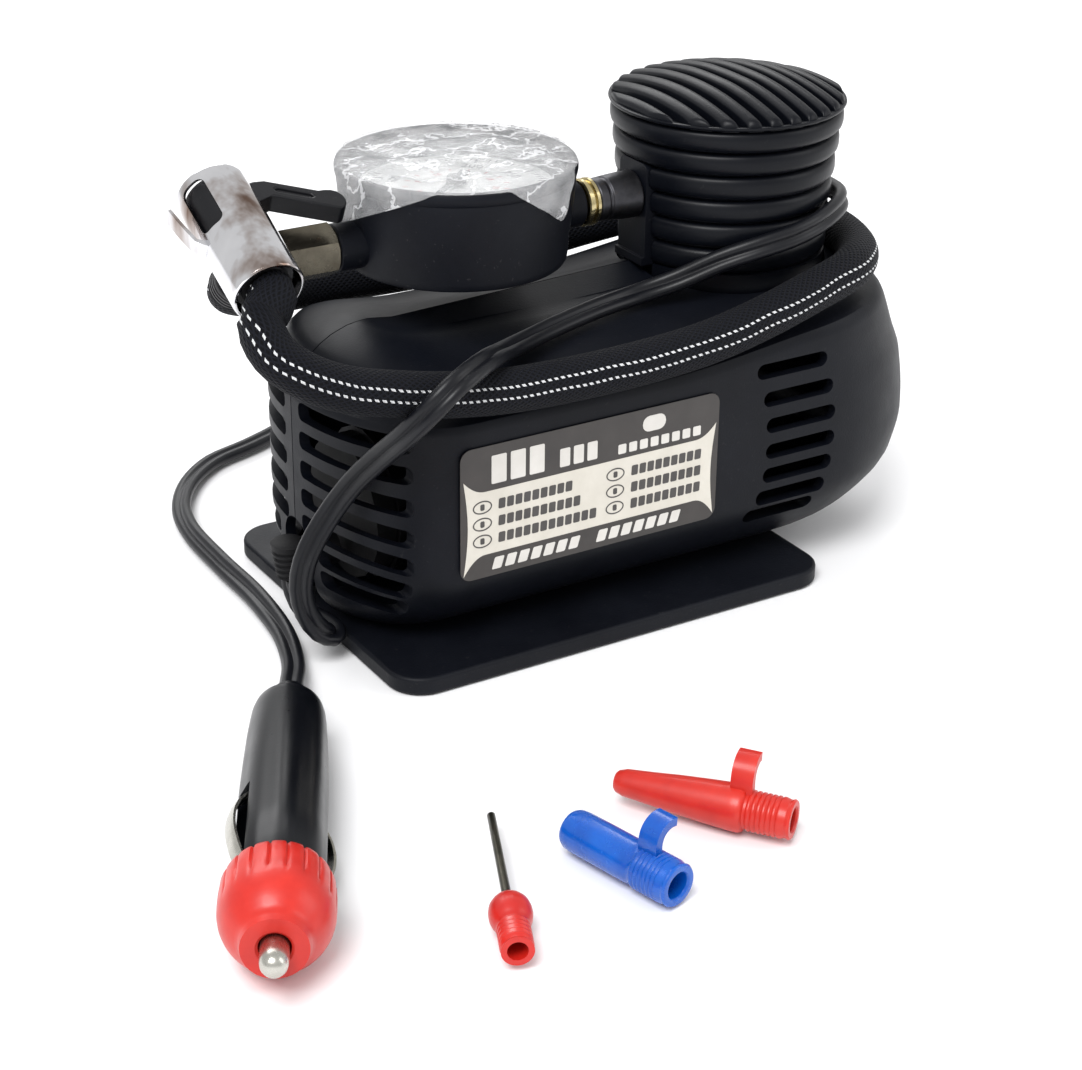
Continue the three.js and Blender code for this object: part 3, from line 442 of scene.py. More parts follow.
def swept(name, line, section, normals=None, uv=False):
    """A section of (side, thickness) points swept along the line. normals give the thickness direction."""
    count = len(section)
    rings = []
    travelled = [0.0]
    normal = None
    for i, point in enumerate(line):
        ahead = direction_at(line, i)
        if normals:
            normal = Vector(normals[i])
        elif normal is None:
            normal = Vector((0, 0, 1)) if abs(ahead.z) < 0.9 else Vector((1, 0, 0))
        normal = (normal - ahead * normal.dot(ahead)).normalized()
        side = normal.cross(ahead)
        rings.append([point + side * a + normal * b for a, b in section])
        if i:
            travelled.append(travelled[-1] + (point - line[i - 1]).length)
    mesh = bpy.data.meshes.new(name)
    points, faces = skin(rings)
    mesh.from_pydata([p * MM for p in points], [], faces)
    mesh.update()
    if uv:
        layer = mesh.uv_layers.new(name="along")
        for face in mesh.polygons:
            ring_columns = [(v // count, v % count) for v in face.vertices]
            wraps = {c for _, c in ring_columns} == {0, count - 1}
            for corner, (row, column) in zip(face.loop_indices, ring_columns):
                around = (column or count) if wraps else column
                layer.data[corner].uv = (travelled[row] * MM, around / count)
    return mesh


# ---------- cords: the routes of the CAD tubes, in millimetres ----------

ELBOW_END = Vector((-65.2, 8.4, 79.4))
ELBOW_MID = Vector((-66.4, 0, 85.3))
CHUCK_MOUTH = Vector((-73.1, -22.8, 87.5))
CHUCK_AXIS = Vector((0.006, 0.898, 0.436)).normalized()
CHUCK_SIDE = Vector((1, 0, 0))
CHUCK_FRAME = frame_matrix(CHUCK_MOUTH, CHUCK_SIDE, CHUCK_AXIS)


def hose_line():
    away = (ELBOW_END - ELBOW_MID).normalized()
    start = ELBOW_END + away * 7.6
    end = CHUCK_MOUTH + CHUCK_AXIS
    route = [
        start, start + away * 3,
        (-57.4, 23.6, 69.2), (-49.5, 30, 66), (-40, 34.8, 63.9), (-28, 37, 62.8), (-12, 37.3, 62.2),
        (6, 37.3, 62.3), (22, 37.2, 63.5), (37, 35.8, 65.6), (52, 33, 67.7), (66.6, 28.2, 69.2), (77, 16.8, 69),
        (81.4, 0, 69), (77, -16.8, 69), (66.6, -28.2, 69.4), (52, -33, 67.9), (37, -35.8, 65.6), (22, -37.2, 63.5),
        (6, -37.3, 62.3), (-12, -37.3, 62.1), (-28, -37.3, 62.8), (-42, -37.3, 64.8), (-53, -37.1, 67.2),
        (-63.5, -36.2, 70), (-71.5, -34.4, 73.8), (-76.6, -31.4, 78.4), (-77.4, -27.8, 83.2),
        end - CHUCK_AXIS * 2.6, end,
    ]
    return curve_points(route, 2.2)


# Each point of the lead: x, y, z and the direction its thin side faces.
LEAD_NEAR = [
    (-60.6, 0, 11.9, -1, 0, 0), (-60.6, -0.1, 10.4, -1, 0, 0), (-60.4, -2.6, 7.4, -1, 0, 0.1),
    (-59.4, -7.4, 5.8, -0.9, -0.2, 0.4), (-58.2, -12, 5.6, -0.6, -0.4, 0.7), (-58, -16, 5.7, -0.3, -0.6, 0.8),
    (-59.8, -18.8, 6.4, -0.2, -0.8, 0.7), (-63, -19.6, 8.6, -0.3, -0.9, 0.3), (-66, -19.4, 13.6, -0.4, -0.9, 0),
    (-67.2, -19.6, 20, -0.5, -0.85, 0), (-66.4, -20.2, 26, -0.6, -0.8, 0.1), (-63.8, -20.8, 31.8, -0.6, -0.75, 0.3),
    (-60.4, -22.4, 38, -0.6, -0.75, 0.3), (-57.4, -26.4, 45, -0.65, -0.7, 0.25),
    (-54.8, -32.8, 52.3, -0.6, -0.75, 0.3),
    (-52.6, -41, 60.2, -0.5, -0.75, 0.4), (-49.8, -45.2, 65.9, -0.4, -0.8, 0.5), (-45.2, -45.8, 70, -0.3, -0.75, 0.6),
    (-39.4, -43.6, 71.7, -0.2, -0.6, 0.8), (-32, -38.2, 71.2, -0.1, -0.5, 0.85), (-24, -30, 68.2, -0.1, -0.4, 0.9),
    (-14, -23.6, 66.8, -0.1, -0.3, 0.95), (-4, -19.6, 66.8, 0, -0.3, 0.95), (8, -16.6, 67.4, -0.1, -0.4, 0.9),
    (19, -15.6, 68.2, -0.1, -0.5, 0.85), (27, -18.4, 70.8, -0.2, -0.7, 0.7), (34.6, -22.8, 75, -0.3, -0.85, 0.45),
    (42, -26.2, 77.7, -0.2, -0.95, 0.3), (50, -27.4, 79.3, 0, -1, 0.2), (57.9, -26.2, 80.6, 0.3, -0.95, 0.2),
    (64.4, -23.2, 81.4, 0.5, -0.85, 0.2), (70, -19, 81.6, 0.7, -0.7, 0.2), (74.2, -13.6, 81, 0.85, -0.5, 0.2),
    (77, -6.9, 80.2, 0.95, -0.25, 0.2), (77.9, 0.6, 79.8, 1, 0, 0.2), (77, 7.6, 79.4, 0.95, 0.3, 0.2),
    (73.6, 15.2, 79, 0.85, 0.55, 0.2), (66.6, 22.4, 78.8, 0.6, 0.8, 0.2), (56.4, 27.8, 78.2, 0.25, 0.95, 0.2),
    (46, 32.4, 76.4, 0.1, 0.9, 0.4), (36, 37.6, 73.8, 0, 0.8, 0.6), (27, 42.4, 70.4, 0, 0.75, 0.65),
    (18, 45.6, 64.4, 0, 0.9, 0.5), (11, 47, 54, 0, 1, 0.2), (8, 48, 40, 0, 1, 0), (8.6, 49, 28, 0, 1, 0.1),
    (11.6, 51.4, 17.6, 0, 0.8, 0.5), (19, 55.4, 12, 0, 0.3, 0.9), (29, 57.6, 10.8, 0, 0, 1),
    (38, 58.1, 10.6, 0, 0, 1),
]
LEAD_FAR = [
    (6.4, 120, 2.3, 0, 0, 1), (2, 112, 2.1, 0, 0, 1), (-6, 103, 2.1, 0, 0, 1), (-17, 94.6, 2.1, 0, 0, 1),
    (-29, 89, 2.1, 0, 0, 1), (-41, 84.6, 2.1, 0, 0, 1), (-51, 76, 2.2, -0.3, -0.1, 0.9),
    (-58.6, 63.8, 2.5, -0.6, -0.2, 0.7),
    (-62.4, 50, 2.8, -0.8, -0.2, 0.5), (-63.4, 30, 2.8, -0.8, 0, 0.5), (-63.4, 12, 2.6, -0.6, -0.2, 0.7),
    (-65.4, -6, 2.4, -0.3, -0.3, 0.9), (-70, -20.4, 3, 0, -0.2, 1), (-75.6, -31.4, 5.6, 0, 0, 1),
    (-79.7, -39.2, 8.2, 0, 0, 1),
]
COIL_X, COIL_Y = 42, 99
COIL_EXIT_R = 40.9


def coil_route():
    """Twelve turns in four layers of three, from the near stretch's end to the far stretch's start."""
    layers = [(35.7, 30, 24.3), (24.3, 30, 35.7)]

    def level(k):
        return layers[k // 3 % 2][k % 3], 10.7 - 3.0 * (k // 3)

    start, total = 264.0, 360 * 12 - 114.0
    steps = 330
    found = []
    for i in range(1, steps):
        angle = total * i / steps
        turn = angle / 360
        place = min(int(turn), 11)
        share = min(1, (turn - place) / 0.2)
        share = share * share * (3 - 2 * share)
        r1, z1 = level(place)
        r0, z0 = level(place - 1) if place else (COIL_EXIT_R, 10.6)
        r, z = r0 + (r1 - r0) * share, z0 + (z1 - z0) * share
        leaving = max(0, (total - angle) / 40)
        if leaving < 1:
            ease = (1 - leaving) ** 2
            r += (COIL_EXIT_R - r) * ease
            z += (2.3 - z) * ease
        a = math.radians(start + angle)
        found.append((COIL_X + r * math.cos(a), COIL_Y + r * math.sin(a), z, 0, 0, 1))
    return found


def twin_section():
    section = arc(1.22, 0, 1.34, -150, 150, 12)
    return section + [(-x, y) for x, y in section[::-1]]


def make_lead():
    route = LEAD_NEAR + coil_route() + LEAD_FAR
    line = curve_points([p[:3] for p in route], 3.0)
    where = [0]
    for a, b in zip(route, route[1:]):
        where.append(where[-1] + max(2, round((Vector(b[:3]) - Vector(a[:3])).length / 3.0)))
    normals = []
    for k, (a, b) in enumerate(zip(route, route[1:])):
        steps = where[k + 1] - where[k]
        for s in range(steps):
            normals.append(Vector(a[3:]).normalized().lerp(Vector(b[3:]).normalized(), s / steps).normalized())
    normals.append(Vector(route[-1][3:]))
    assert len(normals) == len(line)
    mesh = swept("power_lead", line, twin_section(), normals)
    lead = finish_mesh("power_lead", mesh, CORD_SHEATH, replaced=("power_cord_near", "cord_coil", "power_cord_far"),
        angle=60)
    return lead, line


# Where the two tracer threads run, as shares of the way round the hose.
TRACERS = (0.165, 0.245)
HOSE_RADIUS = 4.75


def braid():
    """Black textile braid over rubber, with two dashed white tracer threads along the hose."""
    n = Nodes("hose_braid")
    split = n.add("SeparateXYZ")
    n.link(n.uv(), split.inputs["Vector"])
    along = n.math("MULTIPLY", split.outputs["X"], 1 / (1.6 * MM))
    around = n.math("MULTIPLY", split.outputs["Y"], 26.0)
    one = n.math("SINE", n.math("MULTIPLY", n.math("ADD", along, around), math.pi * 2))
    two = n.math("SINE", n.math("MULTIPLY", n.math("SUBTRACT", along, around), math.pi * 2))
    weave = n.math("MAXIMUM", one, two)
    fibre = n.noise(6000, 2, 0.6)
    height = n.math("ADD", weave, n.math("MULTIPLY", fibre, 0.5))
    tone = n.ramp(n.scaled(height, 0, 1), (0.2, (0.0010, 0.0012, 0.0022)), (0.95, (0.0050, 0.0058, 0.0095)))
    beat = n.math("ADD", along, n.math("MULTIPLY", around, 0.5))
    dashes = n.math("GREATER_THAN", n.math("SINE", n.math("MULTIPLY", beat, math.pi * 2)), -0.1)
    wander = n.math("MULTIPLY", n.math("SUBTRACT", n.noise(60, 1), 0.5), 0.05)
    place = n.math("ADD", split.outputs["Y"], wander)
    distances = [n.math("ABSOLUTE", n.math("SUBTRACT", place, centre)) for centre in TRACERS]
    masks = [n.math("LESS_THAN", distance, 0.0085) for distance in distances]
    tracer = n.math("MULTIPLY", n.math("MAXIMUM", *masks), dashes)
    n.colour(n.mix(tracer, tone, (0.62, 0.63, 0.64)))
    n.roughness(n.scaled(fibre, 0.55, 0.8))
    n.bump(height, 0.6, 0.00025)
    n.set(Specular_IOR_Level=0.12, Sheen_Weight=0.02, Sheen_Roughness=0.5)
    return n.material


def make_hose():
    line = hose_line()
    section = [(y, x) for x, y in circle(HOSE_RADIUS, 40)]
    up = [Vector((0, 0, 1))] * len(line)
    for i in range(len(line)):
        ahead = direction_at(line, i)
        if abs(ahead.z) > 0.55:
            up[i] = Vector((0, 0, 1)).lerp(Vector((0.7, -0.7, 0)), (abs(ahead.z) - 0.55) / 0.45)
    mesh = swept("air_hose_braided", line, section, up, uv=True)
    hose = finish_mesh("air_hose_braided", mesh, braid(), replaced=("air_hose",), angle=80)
    return hose, line


lead, lead_line = make_lead()
hose, hose_path = make_hose()
print("lead", length_of(lead_line), "hose", length_of(hose_path))

# ---------- housing ----------

# Each level: height, nose x, tail x, half width, length of the nose curve, length of the tail curve.
LEVELS = [
    (4.3, -50, 64, 18, 14, 20), (5.6, -54, 71, 23, 17.4, 25), (12, -57.8, 86.5, 31.2, 21.8, 33),
    (22, -58.7, 95.5, 35.9, 24, 38), (30, -58.7, 97.5, 36, 24, 38.5), (44, -58.7, 95.5, 36, 24, 37.6),
    (54, -58.7, 89.5, 36, 24, 35.5), (56, -58, 87, 35.2, 23.4, 34.3), (57.2, -55.4, 82.5, 32.4, 21, 31),
    (59, -54.6, 80.5, 31, 20.5, 30), (62, -51.5, 75.5, 25.4, 18.8, 26.5), (65.2, -45, 67, 14, 13, 15),
    (66.3, -40, 60, 7, 6.5, 7),
]
NOSE_SLOTS = (52.6, 46.4, 40.4, 34.4, 28.6, 22.9, 17.4)
TAIL_SLOTS = ((45.9, 52.9), (48.1, 46), (49.2, 39.5), (49.4, 33.2), (48.9, 27.4), (47.4, 22), (45, 17.6))
HOUSING_SCREWS = ((-30, 52, 34.3), (18, 53, 34.3), (70, 30, 31))
SLOT_DROPS = (0.4, 1.1, 2.6, 3.8, 4.6, 4.8, 4.2)
TOWER_X = 51
TOWER_HOLE_R = 23.9
TOWER_PLACE = Matrix.Translation((TOWER_X * MM, 0, 0))
AIR_Z = 85.3
GAUGE_X = -18.4
GAUGE_PLACE = Matrix.Translation((GAUGE_X * MM, 0, 0))


def smooth(t):
    s = min(max(t, 0), 1)
    return s * s * (3 - 2 * s)


def lift(x, level):
    tail = 5 * smooth((x - 10) / 60) * smooth((level - 48) / 8)
    nose = 2.8 * smooth((-20 - x) / 30) * smooth((level - 57) / 3)
    return tail + nose


def monotone(xs, ys, x):
    """Monotone cubic interpolation, so that a level never swells past its neighbours."""
    slopes = [(b - a) / (d - c) for a, b, c, d in zip(ys, ys[1:], xs, xs[1:])]
    tangents = [slopes[0]] + [0 if a * b <= 0 else 2 * a * b / (a + b)
        for a, b in zip(slopes, slopes[1:])] + [slopes[-1]]
    i = min(max(sum(1 for v in xs if v <= x) - 1, 0), len(xs) - 2)
    h = xs[i + 1] - xs[i]
    t = (x - xs[i]) / h
    a = (1 + 2 * t) * (1 - t) ** 2 * ys[i] + t * (1 - t) ** 2 * h * tangents[i]
    return a + t * t * (3 - 2 * t) * ys[i + 1] + t * t * (t - 1) * h * tangents[i + 1]


def plan_ring(z, inset, arc_steps=26, straight_steps=22):
    heights = [v[0] for v in LEVELS]
    values = [monotone(heights, [v[k] for v in LEVELS], z) for k in range(1, 6)]
    nose_x, tail_x, half, nose_length, tail_length = values
    half, nose_length, tail_length = half - inset, nose_length - inset, tail_length - inset
    tail_centre = tail_x - inset - tail_length
    nose_centre = nose_x + inset + nose_length
    turns = [math.pi * (k / arc_steps - 0.5) for k in range(arc_steps + 1)]
    shares = [k / straight_steps for k in range(1, straight_steps)]
    span = nose_centre - tail_centre
    ring = [(tail_centre + tail_length * math.cos(a), half * math.sin(a)) for a in turns]
    ring += [(tail_centre + span * share, half) for share in shares]
    ring += [(nose_centre + nose_length * math.cos(a + math.pi), half * math.sin(a + math.pi)) for a in turns]
    ring += [(nose_centre - span * share, -half) for share in shares]
    return [(x, y, z + lift(x, z)) for x, y in ring]


def housing_skin(name, inset):
    heights = []
    for (a, *_), (b, *_) in zip(LEVELS, LEVELS[1:]):
        steps = max(2, round((b - a) / 1.6))
        heights += [a + (b - a) * k / steps for k in range(steps)]
    heights.append(LEVELS[-1][0])
    rings = [plan_ring(z, inset) for z in heights]
    if inset:
        floor, crown = 4.3 + inset, 66.3 - inset
        rings = [[(x, y, floor + (z - 4.3) * (crown - floor) / 62) for x, y, z in ring] for ring in rings]
    return mesh_of(name, *skin(rings))


def prism_y(name, x, z, outline, y0, y1):
    turn = Matrix(((1, 0, 0, x * MM), (0, 0, 1, 0), (0, -1, 0, z * MM), (0, 0, 0, 1)))
    return prism_on(turn, name, outline, y0, y1)


def cylinder_y(name, x, z, r, y0, y1, sides=28):
    return prism_y(name, x, z, circle(r, sides), y0, y1)


def stadium_y(name, x, z, length, height, y0, y1, r=None):
    """A slot cutter along Y with rounded ends."""
    outline = rounded_rectangle(length / 2, height / 2, r or height / 2 - 0.02, 6)
    return prism_y(name, x, z, outline, y0, y1)


def nose_slot_cutter(z, drop, side):
    """A louvre that starts beside the seam and wraps round the nose, with rounded ends both ways."""
    inner = 9 if z < 28 else 3.2
    y0, y1 = sorted((side * inner, side * 46))
    round_side = stadium_y("slot", -58.25, z, 23.5, 4.1, y0, y1, 1.5)
    front = prism_mesh("slot_front", rounded_rectangle(23, 2.05, 1.5, 5), -75, -46)
    front.transform(Matrix(((0, 0, 1, 0), (1, 0, 0, side * (inner + 23) * MM), (0, 1, 0, z * MM), (0, 0, 0, 1))))
    cutter = boolean(round_side, front, "INTERSECT")
    slope = drop / 22.5
    cutter.transform(Matrix(((1, 0, 0, 0), (0, 1, 0, 0), (-slope, 0, 1, -slope * 69 * MM), (0, 0, 0, 1))))
    return cutter


def screw_holes(r, y0, y1):
    return join_meshes("holes", *[cylinder_y("hole", x, z, r, y0, y1, 20) for x, z, _ in HOUSING_SCREWS])


def make_housing():
    shell = boolean(housing_skin("outer", 0), housing_skin("inner", 2.4))
    for side, name in ((-1, "housing_near"), (1, "housing_far")):
        half = shell.copy()
        bosses = [cylinder_y("boss", x, z, 3.8, *sorted((side * 0.15, side * (head + 0.1))))
            for x, z, head in HOUSING_SCREWS]
        half = boolean(half, join_meshes("bosses", *bosses), "UNION")
        tools = [nose_slot_cutter(z, drop, side) for z, drop in zip(NOSE_SLOTS, SLOT_DROPS)]
        tools += [stadium_y("slot", x, z, 19, 3.6, *sorted((side * 20, side * 50))) for x, z in TAIL_SLOTS]
        half = boolean(half, join_meshes("slots", *tools))
        keep_out = (-0.15, 90) if side < 0 else (-90, 0.15)
        half = boolean(half, box_mesh("other", -110, 140, *keep_out, -10, 130))
        hole = rod_mesh(TOWER_HOLE_R, 55, 90, 72)
        hole.transform(TOWER_PLACE)
        half = boolean(half, hole)
        mouth = [(-6, 2), (6, 2)] + arc(0, 20, 6, 0, 180, 16)
        half = boolean(half, prism_on(RAISED_ALONG_X, "mouth", mouth, -75, -50))
        half = boolean(half, screw_holes(1.8, -2, 50) if side > 0 else screw_holes(1.8, -16, 2))
        if side > 0:
            wells = [cylinder_y("well", x, z, 3.4, head - 2.3, 50) for x, z, head in HOUSING_SCREWS]
            half = boolean(half, join_meshes("wells", *wells))
        finish_mesh(name + "_shell", half, BLACK, replaced=(name,), angle=32, bevel=0.45,
            segments=3)


def make_base():
    plate = prism_mesh("plate", rounded_rectangle(55, 42.5, 8, 10), 0, 4)
    wells = []
    for x, y in ((-34, -11), (46, 11)):
        wells.append(lathe_mesh("well", [(0, -1), (3.5, -1), (3.5, 2), (1.8, 2), (1.8, 6), (0, 6)], 32))
        wells[-1].transform(Matrix.Translation((x * MM, y * MM, 0)))
    plate = boolean(plate, join_meshes("wells", *wells))
    finish_mesh("base_plate_body", plate, BASE_BLACK, replaced=("base_plate",), bevel=0.7,
        segments=3)


# ---------- label ----------

LABEL_SIDE = 36.36
PRINT_THICKNESS = 0.12


def label_paint(name, low, high, rough=(0.25, 0.4)):
    n = Nodes(name)
    n.colour(n.ramp(n.noise(160, 4, 0.6), (0.3, low), (0.7, high)))
    n.roughness(n.scaled(n.noise(220, 3), *rough))
    n.bump(n.noise(300, 3), 0.12, 0.00012)
    return n.material


def label_shape(name, outline, depth, material):
    """A flat printed shape on the label: outline in label millimetres, x along and y up."""
    mesh = prism_on(RAISED_ALONG_Y, name, outline, LABEL_SIDE + depth, LABEL_SIDE + depth + PRINT_THICKNESS)
    return finish_mesh(name, mesh, material, angle=30)


def bar(x0, x1, z0, z1, slant=0.0, r=0.3):
    points = rounded_rectangle((x1 - x0) / 2, (z1 - z0) / 2, min(r, (z1 - z0) / 2 - 0.01), 4)
    return [((x0 + x1) / 2 + x + slant * z, (z0 + z1) / 2 + z) for x, z in points]


def oval_ring(name, cx, cz, rx, rz, width, material):
    outlines = [[(cx + (rx - inset) * x, cz + (rz - inset) * z) for x, z in circle(1, 36)] for inset in (0, width)]
    low = LABEL_SIDE + PRINT_THICKNESS
    mesh = band_mesh(name, *outlines, low, low + PRINT_THICKNESS)
    mesh.transform(RAISED_ALONG_Y)
    return finish_mesh(name, mesh, material, angle=30)


def make_label():
    dark = label_paint("label_dark", (0.030, 0.026, 0.024), (0.042, 0.037, 0.034))
    cream = label_paint("label_cream", (0.60, 0.57, 0.50), (0.68, 0.65, 0.58))
    ink = label_paint("label_ink", (0.045, 0.042, 0.04), (0.065, 0.06, 0.057))
    pale = label_paint("label_pale", (0.62, 0.60, 0.56), (0.70, 0.68, 0.64))
    outline = [(x - 6.1, z + 36) for x, z in rounded_rectangle(32.3, 15, 2.6, 8)]
    sticker = prism_on(RAISED_ALONG_Y, "sticker", outline, 36.3, 36.48)
    finish_mesh("label_backing", sticker, dark, replaced=("label_sticker",), angle=30)

    x0, x1, top, foot = -37.7, 25.5, 40.8, 26.3
    up, down = [k / 8 for k in range(9)], [1 - k / 8 for k in range(9)]
    panel = [(x0 + 1.035 * math.sin(math.pi * t), 22.2 + 21.7 * t) for t in up]
    panel += [(x0 + 5.2 * t, top + 3.1 * (1 - t) ** 2) for t in up[1:]]
    panel += [(x1 - 5.2 * t, top + 3.1 * (1 - t) ** 2) for t in down[:-1]]
    panel += [(x1 - 1.035 * math.sin(math.pi * t), 22.2 + 21.7 * t) for t in down]
    panel += [(x1 - 5.2 * t, foot - 4.1 * (1 - t) ** 2) for t in up[1:]]
    panel += [(x0 + 5.2 * t, foot - 4.1 * (1 - t) ** 2) for t in down[:-1]]
    label_shape("label_panel", panel, 0.06, cream)

    def stripes(kind, rows, material, depth):
        for number, (left, right, low, high, slant) in enumerate(rows):
            label_shape(f"label_{kind}_{number}", bar(left, right, low, high, slant), depth, material)

    big = [(-31 + 4.6 * k, -27.4 + 4.6 * k, 42.2, 48.6, 0) for k in range(3)]
    small = [(-14.4 + 3.4 * k, -11.9 + 3.4 * k, 42.2, 46.4, 0) for k in range(3)]
    right = [(0.2 + 2.75 * k, 2.2 + 2.75 * k, 41.9, 44.1, 0) for k in range(8)]
    foot_words = [(-30.5 + 3.15 * k, -28.2 + 3.15 * k, 22.4, 25.1, 0.3) for k in range(7)]
    foot_words += [(-4.6 + 3.15 * k, -2.3 + 3.15 * k, 22.4, 25.1, 0.3) for k in range(7)]
    stripes("figure", big + small + right, pale, 0.06)
    stripes("foot", foot_words, pale, 0.06)
    label_shape("label_badge", bar(6.3, 12.2, 45.6, 49.2, 0, 1.7), 0.06, pale)
    words = []
    for row, (left_end, right_end) in enumerate(((-10.2, 22.4), (-8.6, 22.2), (-4.6, 23.4))):
        z = 37.4 - 3.9 * row
        for start, end in ((-29.3, left_end), (3.7, right_end)):
            lefts = [start + 2.05 * k for k in range(int((end - start) / 2.05))]
            words += [(left, left + 1.62, z - 1.15, z + 1.15, 0.05) for left in lefts]
        for side, cx in enumerate((-33.2, -0.4)):
            oval_ring(f"label_oval_{row}_{side}", cx, z, 2.3, 1.5, 0.28, ink)
            label_shape(f"label_mark_{row}_{side}", bar(cx - 0.5, cx + 0.5, z - 0.7, z + 0.7), 0.12, ink)
    stripes("word", words, ink, 0.12)


# ---------- pump tower ----------


def air_bore(r, x0, x1):
    """A cutter along the line that the air takes from the tower to the hose."""
    bore = rod_mesh(r, x0, x1, 32)
    bore.transform(along_x(0, 0, AIR_Z))
    return bore


def make_tower():
    profile = [(20.5, 62), (23.2, 62), (23.35, 62.6), (23.4, 70)]
    notches = (70, 75.8, 81.6, 87.1, 92.7, 98, 103.2)
    crests = (23.7, 23.9, 24.3, 24.8, 25.4, 26.1)
    for crest, low, high in zip(crests, notches, notches[1:]):
        profile += [(crest - 1.5, low + 0.25), (crest - 0.75, low + 0.5), (crest - 0.2, low + 1.1),
            (crest, low + 2.0)]
        profile += [(crest, high - 2.0), (crest - 0.15, high - 1.1), (crest - 0.6, high - 0.45),
            (crest - 1.5, high - 0.2)]
    profile += [(20.5, 103)]
    cover = lathe_mesh("cover", profile, 128, closed=True)
    cover.transform(TOWER_PLACE)
    cover = boolean(cover, box_mesh("pocket", 15, 30.1, -5.7, 5.7, 60, 93.3))
    cover = boolean(cover, air_bore(3.9, 20, 40))
    finish_mesh("tower_cover", cover, TOWER_BLACK, replaced=("cylinder_cover",), angle=50)

    outline = [(y, z + 81.5) for y, z in rounded_rectangle(5.4, 11.5, 1.8, 6)]
    block = prism_on(RAISED_ALONG_X, "block", outline, 26.4, 29.8)
    block = boolean(block, box_mesh("foot", 25.6, 29.8, -5.4, 5.4, 70, 71.8), "UNION")
    block = boolean(block, air_bore(3.9, 20, 40))
    finish_mesh("flange_block", block, GAUGE_BLACK, replaced=("outlet_flange",), bevel=0.5,
        segments=3)


CAP_RADIUS = 26.6
CAP_PROFILE = ((0, 109.6), (7, 109.4), (13, 108.7), (18, 107.7), (22, 106.7), (24.6, 105.9), (26, 105.4),
    (26.6, 105.1))


def cap_height(r):
    return monotone([p[0] for p in CAP_PROFILE], [p[1] for p in CAP_PROFILE], min(r, CAP_RADIUS))


def make_cap():
    core = [(0, 103.3), (25.9, 103.3), (26.4, 103.5), (26.6, 103.9), (26.5, 104.2), (26.1, 104.3), (25.2, 104.1),
        (24.2, 103.8)]
    core += [(r, cap_height(r * 1.1) - 2.6) for r in (21.6, 19, 16, 12, 8, 4)] + [(0, 107)]
    meshes = [lathe_mesh("core", core, 120)]
    for number in range(-5, 6):
        centre = 4.8 * number
        half = 1.5 if abs(number) < 5 else 1.25
        offsets = [half * math.sin(math.radians(a)) for a in range(-90, 91, 15)]
        rings = []
        steps = 48
        for k in range(steps + 1):
            along = math.cos(math.pi * (1 - k / steps))
            ring = []
            for u in offsets:
                x = centre + u
                edge = math.sqrt(max(26.1 ** 2 - x * x, 4))
                y = along * edge
                r = min(math.hypot(x, y), CAP_RADIUS)
                drop = 1.0 * (1 - math.sqrt(max(0, 1 - (u / half) ** 2)))
                drop += 1.1 * (1 - math.sqrt(max(0, 1 - max(0, (abs(y) - edge + 1.3) / 1.3) ** 2)))
                ring.append((x, y, cap_height(r) - drop))
            left, right = ring[0], ring[-1]
            ring.append((right[0], right[1], 103.6))
            ring.append((left[0], left[1], 103.6))
            rings.append(ring)
        meshes.append(mesh_of("fin", *skin(rings)))
    cap = join_meshes("cap", *meshes)
    cap.transform(TOWER_PLACE)
    finish_mesh("cap_fins", cap, TOWER_BLACK, replaced=("finned_cap",), angle=50)


def make_air_path():
    pipe = [(2, 15.5), (4.5, 15.5), (4.8, 15.8), (4.85, 17.6), (4.5, 17.9), (4.5, 18.5), (4.9, 18.8), (5.15, 22.4),
        (5.3, 25.8), (5.1, 26.1), (3.6, 26.1), (3.6, 36.7), (2, 36.7)]
    finish_mesh("outlet_pipe_turned", lathe_mesh("pipe", pipe, 56, True), DARK_ALLOY, replaced=("outlet_pipe",),
        angle=28, bevel=0.12, matrix=along_x(0, 0, AIR_Z))
    rings = [(2, 12.1), (5.0, 12.1), (5.3, 12.4), (5.3, 13.1), (4.7, 13.35), (4.7, 13.95), (5.3, 14.2), (5.3, 14.9),
        (5.0, 15.2), (2, 15.2)]
    finish_mesh("brass_washers", lathe_mesh("rings", rings, 56, True), BRASS, replaced=("brass_ring",),
        angle=28, matrix=along_x(0, 0, AIR_Z))
    nut = prism_mesh("nut", arc(0, 0, 5.889, 30, 330, 5), -60.5, -48.6)
    chamfer = lathe_mesh("chamfer", [(0, -60.6), (5.1, -60.6), (5.95, -60.0), (5.95, -49.1), (5.1, -48.5),
        (0, -48.5)], 64)
    nut = boolean(nut, chamfer, "INTERSECT")
    nut = boolean(nut, rod_mesh(2, -62, -47))
    finish_mesh("union_nut", nut, NUT_METAL, replaced=("hose_nut",), angle=24, bevel=0.25,
        matrix=along_x(0, 0, AIR_Z))
    bend = [bezier(Vector((-60.8, 0, AIR_Z)), ELBOW_MID, ELBOW_END, k / 24) for k in range(25)]
    finish_mesh("elbow_bend", swept("elbow", bend, circle(3.2, 28)), NUT_METAL, replaced=("hose_elbow",),
        angle=60)
    away = (ELBOW_END - ELBOW_MID).normalized()
    crimp = [(0, 0), (4.6, 0), (5.1, 0.3), (5.3, 0.9)]
    for k in range(4):
        crimp += [(5.3, 1.2 + 1.45 * k), (4.95, 1.5 + 1.45 * k), (4.95, 1.9 + 1.45 * k), (5.3, 2.2 + 1.45 * k)]
    crimp += [(5.3, 6.6), (5.1, 6.9), (4.6, 7), (0, 7)]
    place = frame_matrix(ELBOW_END + away * 0.3, (0, 0, 1), away)
    finish_mesh("crimp_ferrule", lathe_mesh("ferrule", crimp, 56), LEVER_BLACK, replaced=("hose_ferrule",),
        angle=30, matrix=place)

